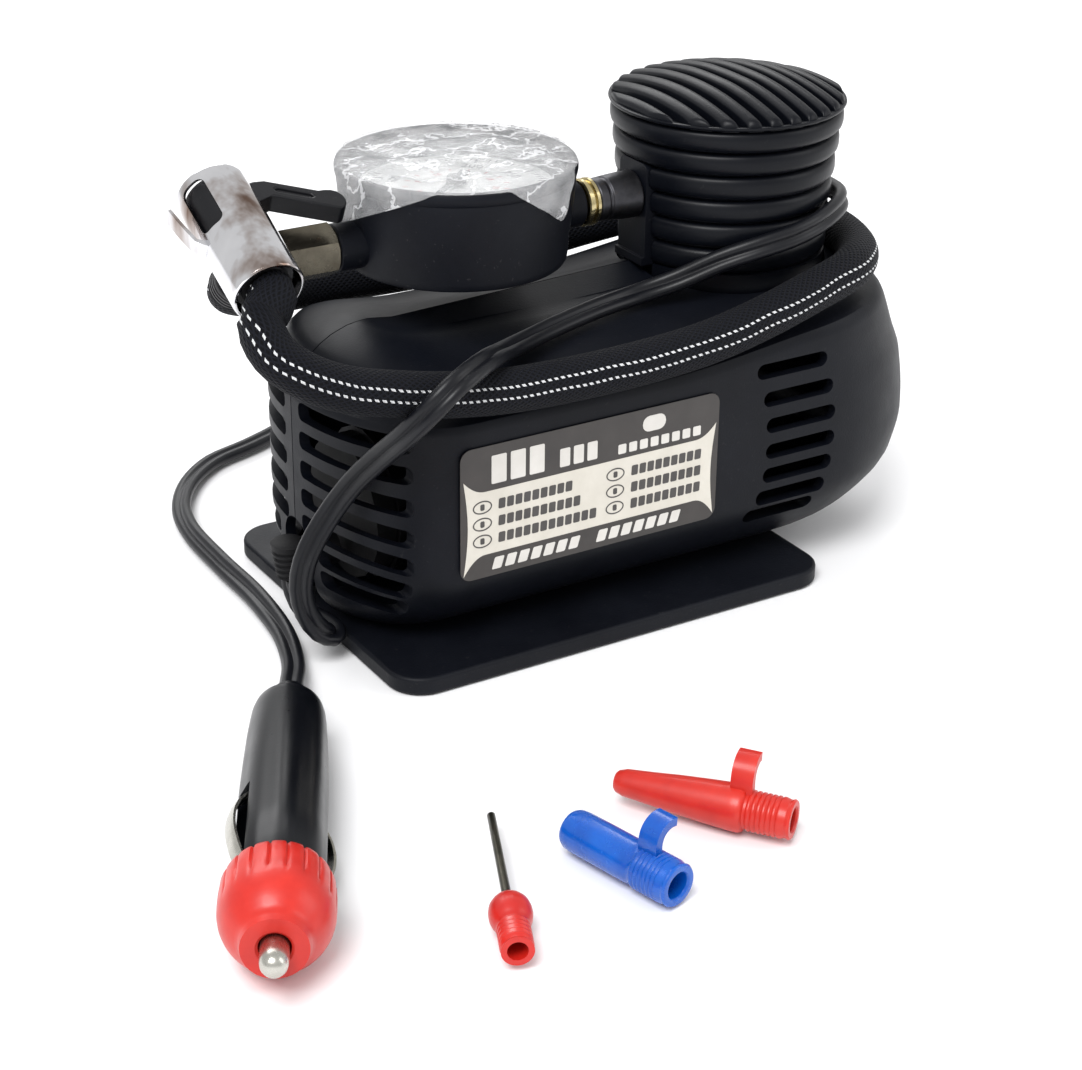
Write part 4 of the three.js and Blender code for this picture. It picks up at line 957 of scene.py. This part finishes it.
# ---------- gauge ----------


def clear_film():
    n = Nodes("crinkled_film")
    fold = n.noise(120, 6, 0.7, stretch=(1, 1.6, 1))
    crease = n.math("ABSOLUTE", n.math("SUBTRACT", n.noise(70, 4, 0.6), 0.5))
    # Painted reflection: the clear sheet gets a whitish colour, let through by its alpha, that stands in for the
    # reflections on the film. The thin, more opaque lines along the creases are painted highlight streaks.
    n.colour(n.ramp(fold, (0.3, (0.70, 0.71, 0.73)), (0.7, (0.93, 0.93, 0.94))))
    painted_reflection_alpha = n.math("ADD", n.scaled(fold, 0.04, 0.34), n.math("MULTIPLY", n.math("LESS_THAN", crease, 0.012), 0.3),
        True)
    n.link(painted_reflection_alpha, n.shader.inputs["Alpha"])
    n.roughness(n.scaled(fold, 0.06, 0.22))
    n.bump(n.math("ADD", fold, n.math("MULTIPLY", crease, 1.5)), 0.7, 0.0009)
    n.set(Specular_IOR_Level=0.9, IOR=1.5)
    return n.material


def lens_plastic():
    n = Nodes("lens_plastic")
    n.colour(n.ramp(n.noise(80, 3), (0.3, (0.80, 0.84, 0.85)), (0.7, (0.92, 0.94, 0.95))))
    n.link(n.scaled(n.noise(140, 4), 0.10, 0.2), n.shader.inputs["Alpha"])
    n.roughness(n.scaled(n.noise(260, 3), 0.03, 0.12))
    n.bump(n.noise(400, 2), 0.1, 0.00003)
    return n.material


def dial_paint():
    n = Nodes("dial_paint")
    n.colour(n.ramp(n.noise(240, 3), (0.3, (0.74, 0.74, 0.73)), (0.7, (0.82, 0.82, 0.81))))
    n.roughness(n.scaled(n.noise(500, 2), 0.4, 0.55))
    n.bump(n.noise(1500, 2), 0.1, 0.00003)
    return n.material


def flap(angle):
    """How far the film reaches beyond the rim at this angle in degrees."""
    reach = 0.4
    for centre, half, length, skew in ((-71, 24, 9.2, 6), (-168, 40, 10.5, -14), (20, 26, 6.5, 0), (112, 30, 7.5, 4)):
        off = (angle - centre + 180) % 360 - 180
        tip = off - skew
        width = half - skew if tip > 0 else half + skew
        reach += length * max(0, 1 - abs(tip) / width) ** 1.05
    return reach


FILM_RADIUS = 25.6
FILM_TOP = 100.62


def make_film():
    points, faces = [], []
    around, rings = 180, 30
    for i in range(rings + 1):
        for k in range(around):
            angle = 360 * k / around
            a = math.radians(angle)
            reach = flap(angle)
            if i <= 18:
                r, z = FILM_RADIUS * i / 18, FILM_TOP
                bump = noise.noise(Vector((r * math.cos(a), r * math.sin(a), 3)) * 0.16) * 0.7
                bump += abs(noise.noise(Vector((r * math.cos(a), r * math.sin(a), 8)) * 0.35)) * 0.35
                z += (0.25 + bump) * min(1, (FILM_RADIUS - r) / 4)
            else:
                t = (i - 18) / (rings - 18)
                run = reach * t
                turn = min(run / 1.6, 1)
                crinkle = noise.noise(Vector((angle * 0.09, run * 0.35, 1.5))) * 0.5 * min(1, run / 2)
                r = FILM_RADIUS + 0.45 * turn + run * 0.10 + crinkle
                z = FILM_TOP - run * 0.97 * (0.4 + 0.6 * turn)
            points.append((GAUGE_X + r * math.cos(a), r * math.sin(a), max(z, 88)))
    for i in range(rings):
        for k in range(around):
            n = (k + 1) % around
            faces.append((i * around + k, i * around + n, (i + 1) * around + n, (i + 1) * around + k))
    film = finish_mesh("protective_film", mesh_of("film", points, faces), clear_film(), replaced=("lens_film",),
        angle=80)
    thick = film.modifiers.new("sheet", "SOLIDIFY")
    thick.thickness = 0.05 * MM


def text_mesh(text, size, depth):
    curve = bpy.data.curves.new("figures", "FONT")
    curve.body = text
    curve.size = size * MM
    curve.extrude = depth * MM / 2
    curve.align_x = "CENTER"
    curve.align_y = "CENTER"
    holder = bpy.data.objects.new("figures", curve)
    bpy.context.collection.objects.link(holder)
    graph = bpy.context.evaluated_depsgraph_get()
    graph.update()
    mesh = bpy.data.meshes.new_from_object(holder.evaluated_get(graph))
    bpy.data.objects.remove(holder)
    return mesh


DIAL_TOP = 94.1


def dial_print():
    """Two scales of ticks with plain numbers, as thin raised print on the dial."""
    black, red = [], []
    for k in range(61):
        angle = math.radians(219.6 - 260 * k / 60)
        long = k % 10 == 0
        outer, inner = 19.6, 16.4 if long else (17.4 if k % 5 == 0 else 18.3)
        half = 0.26 if long else 0.13
        tick = box_mesh("tick", inner, outer, -half, half, DIAL_TOP, DIAL_TOP + 0.06)
        tick.transform(Matrix.Rotation(angle, 4, "Z"))
        black.append(tick)
        if k % 5 == 0:
            dash = box_mesh("dash", 10.2, 11.4, -0.14, 0.14, DIAL_TOP, DIAL_TOP + 0.06)
            dash.transform(Matrix.Rotation(angle, 4, "Z"))
            red.append(dash)
        if long:
            for radius, size, value, group in ((13.9, 3.3, k * 5, black), (8.4, 2.0, round(k * 0.35), red)):
                figures = text_mesh(str(value), size, 0.06)
                place = Matrix.Translation((radius * math.cos(angle) * MM, radius * math.sin(angle) * MM,
                    (DIAL_TOP + 0.03) * MM))
                figures.transform(place @ Matrix.Rotation(angle - math.pi / 2, 4, "Z"))
                group.append(figures)
    for name, group, colours in (("dial_scale_black", black, ((0.012, 0.012, 0.014), (0.03, 0.03, 0.034))),
        ("dial_scale_red", red, ((0.5, 0.02, 0.015), (0.62, 0.04, 0.03)))):
        mesh = join_meshes(name, *group)
        mesh.materials.clear()
        mesh.transform(GAUGE_PLACE)
        finish_mesh(name, mesh, label_paint(name + "_ink", *colours), angle=30)


def make_gauge():
    cup = [(0, 78.6), (22.7, 78.6), (23.3, 78.8), (23.6, 79.3), (23.75, 80.4), (24.0, 84), (24.5, 88), (24.95, 92),
        (25.25, 95.6)]
    cup += [(25.4, 97.2), (25.35, 97.5), (25.6, 97.8), (25.75, 98.6), (25.75, 99.4), (25.5, 100.0), (25.0, 100.2),
        (23.8, 100.2), (23.4, 99.9), (23.3, 97.2), (22.4, 97.2), (22.2, 82), (0, 82)]
    case = lathe_mesh("case", cup, 144)
    for low, high in ((-29.7, -23), (23, 30)):
        boss = [(0, low), (4.8, low), (5.1, low + 0.3), (5.1, high - 0.3), (4.8, high), (0, high)]
        boss = lathe_mesh("boss", boss, 48)
        boss.transform(along_x(0, 0, AIR_Z))
        case = boolean(case, boss, "UNION")
    case = boolean(case, rod_mesh(22.2, 82.1, 97, 96))
    case = boolean(case, air_bore(4.1, -40, 40))
    finish_mesh("gauge_cup", case, GAUGE_BLACK, replaced=("gauge_case",), angle=40,
        matrix=GAUGE_PLACE)
    make_film()
    lens = [(0, 97.5), (22.2, 97.5), (22.8, 97.9), (22.8, 98.9), (22.3, 99.25), (14, 99.4), (0, 99.4)]
    finish_mesh("gauge_window", lathe_mesh("lens", lens, 96), lens_plastic(), replaced=("gauge_lens",),
        angle=40, matrix=GAUGE_PLACE)
    dial = [(0, 93.5), (21.4, 93.5), (21.6, 93.7), (21.6, 93.95), (21.4, 94.1), (0, 94.1)]
    finish_mesh("dial_plate", lathe_mesh("dial", dial, 96), dial_paint(), replaced=("gauge_dial",),
        angle=40, matrix=GAUGE_PLACE)
    dial_print()
    needle = prism_mesh("needle", [(-5.5, -1.1), (0, -0.8), (16.3, -0.32), (16.8, 0), (16.3, 0.32), (0, 0.8),
        (-5.5, 1.1)], 95.3, 95.9)
    hub = lathe_mesh("hub", [(0, 94.5), (1.9, 94.5), (2.1, 94.8), (2.1, 96.1), (1.8, 96.4), (0, 96.4)], 40)
    pointer = join_meshes("pointer", needle, hub)
    pointer.transform(Matrix.Rotation(math.pi * 1.22, 4, "Z"))
    finish_mesh("pointer_needle", pointer, RUBBER, body="pointer", replaced=("gauge_pointer",),
        angle=30, bevel=0.08, matrix=GAUGE_PLACE)


# ---------- chuck ----------


def chuck_chrome():
    """Bright chrome with soft brown and grey smears along the sleeve."""
    n = Nodes("chuck_chrome")
    smear = n.noise(95, 4, 0.55, stretch=(1, 1, 0.25))
    n.colour(n.ramp(smear, (0.3, (0.14, 0.085, 0.06)), (0.4, (0.40, 0.35, 0.33)), (0.52, (0.72, 0.72, 0.74)),
        (0.8, (0.84, 0.84, 0.86))))
    pit = n.noise(900, 4, 0.7)
    n.roughness(n.scaled(pit, 0.05, 0.17))
    n.bump(pit, 0.2, 0.00001)
    n.set(Metallic=1.0)
    return n.material


PIVOT_POINT = (4.6, 0, 24)
PIVOT = frame_matrix(PIVOT_POINT, (1, 0, 0), (0, 1, 0))
LEVER_REST = math.radians(30)


def make_chuck():
    ring = [(6.9, 0), (7.3, 0), (7.55, 0.3), (7.6, 0.8), (7.6, 28.9), (7.4, 29.4), (7.1, 29.5), (6.9, 29.3)]
    sleeve = lathe_mesh("sleeve", ring, 96, True)
    edge = [(-7.2, 13.2), (-9.5, 15.3), (-10.6, 20.4), (-11.3, 24.8), (-10.6, 25), (-9.8, 20.4), (-8.8, 15.9),
        (-6.9, 14.8)]
    sleeve = boolean(sleeve, prism_on(RAISED_ALONG_Y, "tab", edge, -1.6, 1.6), "UNION")
    sleeve = boolean(sleeve, box_mesh("window", 3.4, 10, -3.6, 3.6, 20, 31))
    outline = [(y, z + 21.6) for y, z in rounded_rectangle(2.9, 6.0, 1.6, 6)]
    slot = prism_on(RAISED_ALONG_X, "slot", outline, -12, -5)
    slot.transform(Matrix.Rotation(math.radians(38), 4, "Z"))
    sleeve = boolean(sleeve, slot)
    finish_mesh("chuck_tube", sleeve, chuck_chrome(), replaced=("chuck_sleeve",), angle=30,
        bevel=0.18, matrix=CHUCK_FRAME)

    core = [(0, 2.5), (5.9, 2.5), (6.3, 2.7), (6.5, 3.3), (6.5, 27.0), (6.2, 27.8), (4.4, 28.3), (4.0, 28.1),
        (3.9, 18.6), (0, 18.6)]
    body = lathe_mesh("core", core, 64)
    body = boolean(body, box_mesh("slot", 1.2, 8, -2.7, 2.7, 19, 30))
    hole = rod_mesh(1, -8, 8)
    hole.transform(PIVOT)
    body = boolean(body, hole)
    finish_mesh("chuck_core", body, LEVER_BLACK, replaced=("chuck_body",), angle=30,
        bevel=0.2, matrix=CHUCK_FRAME)
    seal = [(1.9, 19.1), (2.1, 18.9), (3.4, 18.9), (3.6, 19.1), (3.6, 21.2), (3.4, 21.4), (2.3, 21.4), (1.9, 20.8)]
    finish_mesh("seal_grommet", lathe_mesh("seal", seal, 48, True), RUBBER, replaced=("chuck_seal",),
        angle=50, matrix=CHUCK_FRAME)
    pin = [(0, -4), (0.7, -4), (0.95, -3.75), (0.95, 3.75), (0.7, 4), (0, 4)]
    place = CHUCK_FRAME @ PIVOT
    finish_mesh("pivot_pin", lathe_mesh("pin", pin, 32), STEEL, replaced=("lever_pin",), angle=30,
        matrix=place)
    boot = [(0, 1.9), (4.7, 1.9), (4.95, 2.0), (5.0, 2.08), (4.8, 2.2), (0, 2.2)]
    finish_mesh("hose_boot", lathe_mesh("boot", boot, 56), RUBBER, replaced=("chuck_boot",),
        angle=50, matrix=CHUCK_FRAME)

    outline = [(2.4, -0.6), (5.4, 2.6), (12, 2.85), (19.6, 3.2), (20.3, 4.0), (20.5, 5.0), (20.3, 6.1), (19.5, 7.2),
        (18.2, 8.0), (16.8, 8.1), (15.5, 7.7), (14.4, 7.1), (9, 6.85), (3.4, 6.6)]
    outline += [(1.0, 5.5), (-1.0, 3.8), (-2.1, 1.8)] + arc(0, 0, 2.45, 168, 336, 14)
    blade = prism_on(RAISED_ALONG_Y, "blade", outline, -2.3, 2.3)
    hole = rod_mesh(1.06, -5, 5)
    hole.transform(frame_matrix((0, 0, 0), (1, 0, 0), (0, 1, 0)))
    blade = boolean(blade, hole)
    groove = [(6.2, 4.2), (13.2, 4.5), (13.8, 5.0), (13.1, 5.5), (6.2, 5.3), (5.7, 4.75)]
    for y0, y1 in ((-3, -1.5), (1.5, 3)):
        blade = boolean(blade, prism_on(RAISED_ALONG_Y, "groove", groove, -y1, -y0))
    turn = CHUCK_FRAME @ Matrix.Translation(Vector(PIVOT_POINT) * MM) @ Matrix.Rotation(LEVER_REST, 4, "Y")
    finish_mesh("lever_blade", blade, LEVER_BLACK, body="lever", replaced=("thumb_lever",),
        angle=30, bevel=0.4, segments=3, matrix=turn)


# ---------- lead fittings ----------


def make_lead_fittings():
    block = [(0, -61), (3.3, -61), (3.8, -60.5), (3.8, -49.6), (0, -49.6)]
    part = lathe_mesh("block", block, 56)
    part.transform(along_x(0, 0, 17))
    finish_mesh("gland_block", part, RUBBER, replaced=("cord_gland",), angle=40)
    relief = [(0, 21), (3.3, 21), (3.9, 20.6)]
    for k in range(5):
        z = 19.4 - 1.45 * k
        r = 3.75 - 0.2 * k
        relief += [(r, z), (r - 0.55, z - 0.25), (r - 0.6, z - 0.75), (r - 0.12, z - 1.0)]
    relief += [(2.75, 12.6), (2.5, 12.4), (0, 12.4)]
    part = lathe_mesh("relief", relief, 56)
    part.transform(Matrix.Translation((-60.6 * MM, 0, 0)))
    finish_mesh("strain_relief", part, RUBBER, angle=40)
    tie = band_mesh("tie", rounded_rectangle(10.05, 7.05, 1.6, 6), rounded_rectangle(9.2, 6.45, 1.2, 6), -2.4, 2.4)
    tie.transform(Matrix.Translation((72 * MM, COIL_Y * MM, 7.05 * MM)) @ RAISED_ALONG_Y)
    finish_mesh("tie_band", tie, RUBBER, replaced=("coil_tie",), angle=40, bevel=0.15)


# ---------- lighter plug ----------

PLUG_AXIS = Vector((-0.463, -0.886, 0.026)).normalized()
PLUG_TURN = Matrix.Rotation(math.radians(-30), 4, "Z")
PLUG_FRAME = frame_matrix((-80, -39.8, 8.3), Vector((0, 0, 1)).cross(PLUG_AXIS), PLUG_AXIS) @ PLUG_TURN


def coloured_plastic(name, dark, light, rough, grain=1500, subsurface=0.0, coat=0.3, transmission=0.0,
    radius=(1, 0.2, 0.1)):
    n = Nodes(name)
    cloud = n.noise(120, 4, 0.6)
    n.colour(n.ramp(cloud, (0.3, dark), (0.7, light)))
    n.roughness(n.scaled(n.noise(300, 4, 0.6), *rough))
    n.bump(n.noise(grain, 3, 0.6), 0.3, 0.00004)
    n.set(Coat_Weight=coat, Coat_Roughness=0.12, Transmission_Weight=transmission, IOR=1.48)
    if subsurface:
        n.set(Subsurface_Weight=subsurface, Subsurface_Scale=0.002)
        n.shader.inputs["Subsurface Radius"].default_value = radius
    return n.material


PLUG_RED = coloured_plastic("plug_red", (0.46, 0.011, 0.006), (0.58, 0.020, 0.010), (0.28, 0.46), coat=0.08,
    subsurface=0.05)
NEEDLE_RED = coloured_plastic("needle_red", (0.44, 0.009, 0.006), (0.56, 0.017, 0.010), (0.28, 0.46), coat=0.08,
    subsurface=0.05)
NOZZLE_RED = coloured_plastic("nozzle_red", (0.48, 0.014, 0.008), (0.60, 0.024, 0.012), (0.28, 0.46), coat=0.08,
    subsurface=0.05)
BLUE = coloured_plastic("adapter_blue", (0.001, 0.075, 0.42), (0.002, 0.12, 0.58), (0.18, 0.34), coat=0.15,
    subsurface=0.1, transmission=0.15, radius=(0.05, 0.3, 1))


def contact_leaf(sign):
    """A springy leaf that bows out of the barrel, with a raised rib."""
    top = [(bezier(46, 56, 70.8, k / 16), bezier(7.1, 13.8, 7.1, k / 16)) for k in range(17)]
    rings = []
    for z, x in top:
        ring = []
        for y in (-1.6, -1.1, -0.55, 0, 0.55, 1.1, 1.6):
            ring.append((sign * (x + 0.28 - 0.22 * (y / 1.6) ** 2), y, z))
        for y in (1.6, 0.55, -0.55, -1.6):
            ring.append((sign * (x - 0.45), y, z))
        rings.append(ring)
    return mesh_of("leaf", *skin(rings))


def make_plug():
    shell = [(0, 0.6), (2.9, 0.6), (3.4, 0.9), (3.85, 1.6), (3.85, 2.8), (3.6, 3.8), (3.7, 5.4), (4.9, 6.3),
        (6.3, 7.3), (7.0, 8.6), (7.35, 10.6), (7.6, 14), (7.9, 20), (8.2, 30)]
    shell += [(8.4, 40), (8.4, 56), (8.4, 70.8), (8.2, 71.2), (6.2, 71.2), (6, 40), (0, 40)]
    barrel = lathe_mesh("barrel", shell, 96)
    for vertex in barrel.vertices:
        z = vertex.co.z / MM
        if 20 < z < 71.5 and math.hypot(vertex.co.x, vertex.co.y) > 7 * MM:
            angle = math.atan2(vertex.co.y, vertex.co.x)
            soft = 1 - 0.022 * smooth((z - 20) / 8) * (0.5 + 0.5 * math.cos(8 * angle)) ** 2
            vertex.co.x *= soft
            vertex.co.y *= soft
    pockets = join_meshes("pockets", *[box_mesh("pocket", x, x + 7, -2.2, 2.2, 44.6, 73) for x in (5, -12)])
    barrel = boolean(barrel, pockets)
    finish_mesh("plug_body", barrel, PLUG_BLACK, replaced=("plug_barrel",), angle=40,
        matrix=PLUG_FRAME)
    for sign, side in ((1, "left"), (-1, "right")):
        finish_mesh(f"leaf_{side}", contact_leaf(sign), CONTACT, body=f"plug_side_contact_{side}",
            replaced=(f"plug_contact_{side}",), angle=40, matrix=PLUG_FRAME)

    profile = [(6.4, 71.5), (9.5, 71.5), (9.95, 71.9), (10.3, 73.2), (10.4, 76), (10.4, 79), (10.35, 80.6),
        (10.1, 82.2), (9.6, 83.8), (8.9, 85.3), (8.0, 86.6)]
    profile += [(7.1, 87.6), (6.5, 88.3), (6.3, 89.2), (6.0, 90.4), (3.4, 90.4), (2.9, 90.0), (2.8, 86), (6.2, 84)]
    count = 160
    rings = []
    for r, z in profile:
        ring = []
        for k in range(count):
            angle = 2 * math.pi * k / count
            depth = 0.55 * smooth((80.4 - z) / 1.6) * smooth((r - 8.5) / 1)
            flute = max(0, math.cos(20 * angle)) ** 6
            rr = r - depth * flute
            ring.append((rr * math.cos(angle), rr * math.sin(angle), z))
        rings.append(ring)
    collar = mesh_of("collar", *skin(rings, closed_path=True))
    finish_mesh("plug_ring", collar, PLUG_RED, replaced=("plug_collar",), angle=38,
        matrix=PLUG_FRAME)
    fuse = [(0, 48), (2.9, 48), (3.1, 48.3), (3.1, 53.8), (2.7, 54), (2.7, 73), (3.1, 73.2), (3.1, 78.7), (2.9, 79),
        (0, 79)]
    finish_mesh("fuse_tube", lathe_mesh("fuse", fuse, 40), STEEL, replaced=("plug_fuse",),
        angle=30, matrix=PLUG_FRAME)
    tip = [(0, 82), (4.6, 82), (4.6, 83), (2.55, 84), (2.55, 94.2), (2.4, 95.3), (1.9, 96.3), (1.1, 96.85), (0, 97)]
    finish_mesh("plug_pin", lathe_mesh("tip", tip, 56), CONTACT, body="plug_centre_contact", replaced=("plug_tip",),
        angle=40, matrix=PLUG_FRAME)


# ---------- loose adapters ----------


def lying(x, y, z, heading_x, heading_y):
    axis = Vector((heading_x, heading_y, 0)).normalized()
    return frame_matrix((x, y, z), Vector((0, 0, 1)).cross(axis), axis)


def threaded(outer, low, high, pitch=1.0, depth=0.32):
    """Profile points of a fine thread from low to high."""
    points = []
    z = low
    while z + pitch <= high + 0.001:
        points += [(outer - depth, z), (outer, z + pitch * 0.35), (outer, z + pitch * 0.65)]
        z += pitch
    return points + [(outer - depth, high)]


def hook(z0, z1, r, thick=1.7):
    """A springy C that stands on the adapter's side and curls over."""
    route = [(0.1, r - 0.6), (0.0, r + 1.2), (0.15, r + 2.6), (0.75, r + 4.0), (1.9, r + 5.0), (3.3, r + 5.45),
        (4.7, r + 5.35)]
    smooth_line = curve_points([(x, y, 0) for x, y in route], 0.35)
    outline_left, outline_right = [], []
    for i, p in enumerate(smooth_line):
        ahead = direction_at(smooth_line, i)
        side = Vector((-ahead.y, ahead.x, 0)) * thick / 2
        outline_left.append(((p + side).x, (p + side).y))
        outline_right.append(((p - side).x, (p - side).y))
    return prism_mesh("hook", outline_left + outline_right[::-1], z0, z1)


def make_adapters():
    place = lying(-64.4, -93.6, 4.2, -0.409, -0.913)
    steel = [(0, 0), (0.55, 0.05), (0.8, 0.4), (0.82, 10), (0.9, 30.4), (0, 30.4)]
    finish_mesh("needle_tube", lathe_mesh("needle", steel, 32), NEEDLE_STEEL, body="needle",
        replaced=("needle_adapter",), angle=40, matrix=place)
    head = [(0, 28.4), (1.7, 28.4), (2.4, 28.8), (3.2, 29.8), (3.8, 31), (4.0, 32.2), (4.0, 33.2), (3.75, 34.6),
        (3.2, 35.6), (2.8, 36.2)]
    head += threaded(3.1, 36.6, 43, 1.25, 0.35) + [(3.0, 43.8), (1.9, 43.8), (1.9, 38), (0, 38)]
    finish_mesh("needle_head", lathe_mesh("head", head, 64), NEEDLE_RED, body="needle", angle=32,
        matrix=place)

    place = lying(-54, -105.6, 4.6, 0.24, -0.971)
    blue = [(1.6, 1.4), (1.9, 0.1), (3.1, 0), (3.6, 0.3), (4.0, 1.1), (4.15, 2.6), (4.2, 9), (4.2, 16.2),
        (4.05, 17), (4.0, 17.6)]
    blue += threaded(4.4, 18.2, 26, 1.0, 0.3) + [(4.3, 26.6), (4.0, 27), (2.9, 27), (2.6, 26.6), (2.6, 20), (1.6, 18)]
    part = boolean(lathe_mesh("cone", blue, 72, True), hook(17.6, 22, 4.0), "UNION")
    finish_mesh("blue_cone", part, BLUE, body="cone_adapter", replaced=("blue_adapter",),
        angle=32, bevel=0.12, matrix=place)

    place = lying(-38.2, -96.2, 4.9, 0.596, -0.803)
    red = [(0, 0.3), (1.0, 0.05), (1.7, 0.2), (2.2, 0.7), (2.7, 2.2), (3.2, 7.5), (3.8, 13), (4.3, 19), (4.65, 24),
        (4.7, 25.6), (4.4, 26.4), (3.75, 26.7)]
    red += threaded(4.0, 27.2, 35, 1.0, 0.3) + [(3.95, 35.6), (3.7, 36), (2.7, 36), (2.4, 35.6), (2.4, 30), (0, 30)]
    part = boolean(lathe_mesh("ogive", red, 72), hook(23.4, 27.8, 4.1), "UNION")
    finish_mesh("red_ogive", part, NOZZLE_RED, body="nozzle", replaced=("red_nozzle",), angle=32,
        bevel=0.12, matrix=place)


# ---------- floor and light ----------


def make_stage():
    size = 6.0
    mesh = bpy.data.meshes.new("floor")
    mesh.from_pydata([(-size, -size, 0), (size, -size, 0), (size, size, 0), (-size, size, 0)], [], [(0, 1, 2, 3)])
    floor = bpy.data.objects.new("floor", mesh)
    floor.location.z = -0.0002
    bpy.context.collection.objects.link(floor)
    n = Nodes("pale_floor")
    n.colour(n.ramp(n.noise(3, 2), (0.3, (0.86, 0.86, 0.87)), (0.7, (0.89, 0.89, 0.90))))
    n.roughness(n.scaled(n.noise(20, 2), 0.6, 0.75))
    mesh.materials.append(n.material)
    world = bpy.data.worlds.new("studio")
    world.use_nodes = True
    world.node_tree.nodes["Background"].inputs["Color"].default_value = (1, 1, 1, 1)
    world.node_tree.nodes["Background"].inputs["Strength"].default_value = 0.75
    bpy.context.scene.world = world
    bpy.context.scene.view_settings.view_transform = "Standard"
    for name, place, aim, width, height, power in (
        ("key", (-0.9, -0.7, 1.5), (0, 0, 0.05), 0.9, 0.9, 30),
        ("fill", (1.3, -1.0, 0.9), (0, 0, 0.06), 0.8, 1.2, 6),
        ("back", (0.3, 1.4, 1.2), (0, 0, 0.06), 1.4, 0.7, 14),
    ):
        data = bpy.data.lights.new(name, "AREA")
        data.shape = "RECTANGLE"
        data.size = width
        data.size_y = height
        data.energy = power
        light = bpy.data.objects.new(name, data)
        light.location = place
        light.rotation_euler = (Vector(aim) - Vector(place)).to_track_quat("-Z", "Y").to_euler()
        bpy.context.collection.objects.link(light)


def dress_inner_parts():
    """The parts inside keep their shape from the CAD and get their own metal, nylon or rubber."""
    for material, nodes in (
        (DULL_CAN, "motor_can motor_rotor gear_frame"), (BRASS, "pinion_gear gauge_stem bourdon_tube"),
        (NYLON, "drive_gear"), (DARK_ALLOY, "cylinder_barrel"), (RUBBER, "motor_end_cap piston_seal"),
        (ALLOY, "piston connecting_rod cylinder_head"), (STEEL, "gear_axle crank_pin outlet_valve"),
        (STEEL, "housing_screw_1 housing_screw_2 housing_screw_3 base_screw_1 base_screw_2"),
    ):
        for node in nodes.split():
            for slot in bpy.data.objects[node].material_slots:
                slot.material = material


make_housing()
make_base()
make_label()
make_tower()
make_cap()
make_air_path()
make_gauge()
make_chuck()
make_lead_fittings()
make_plug()
make_adapters()
dress_inner_parts()
make_stage()
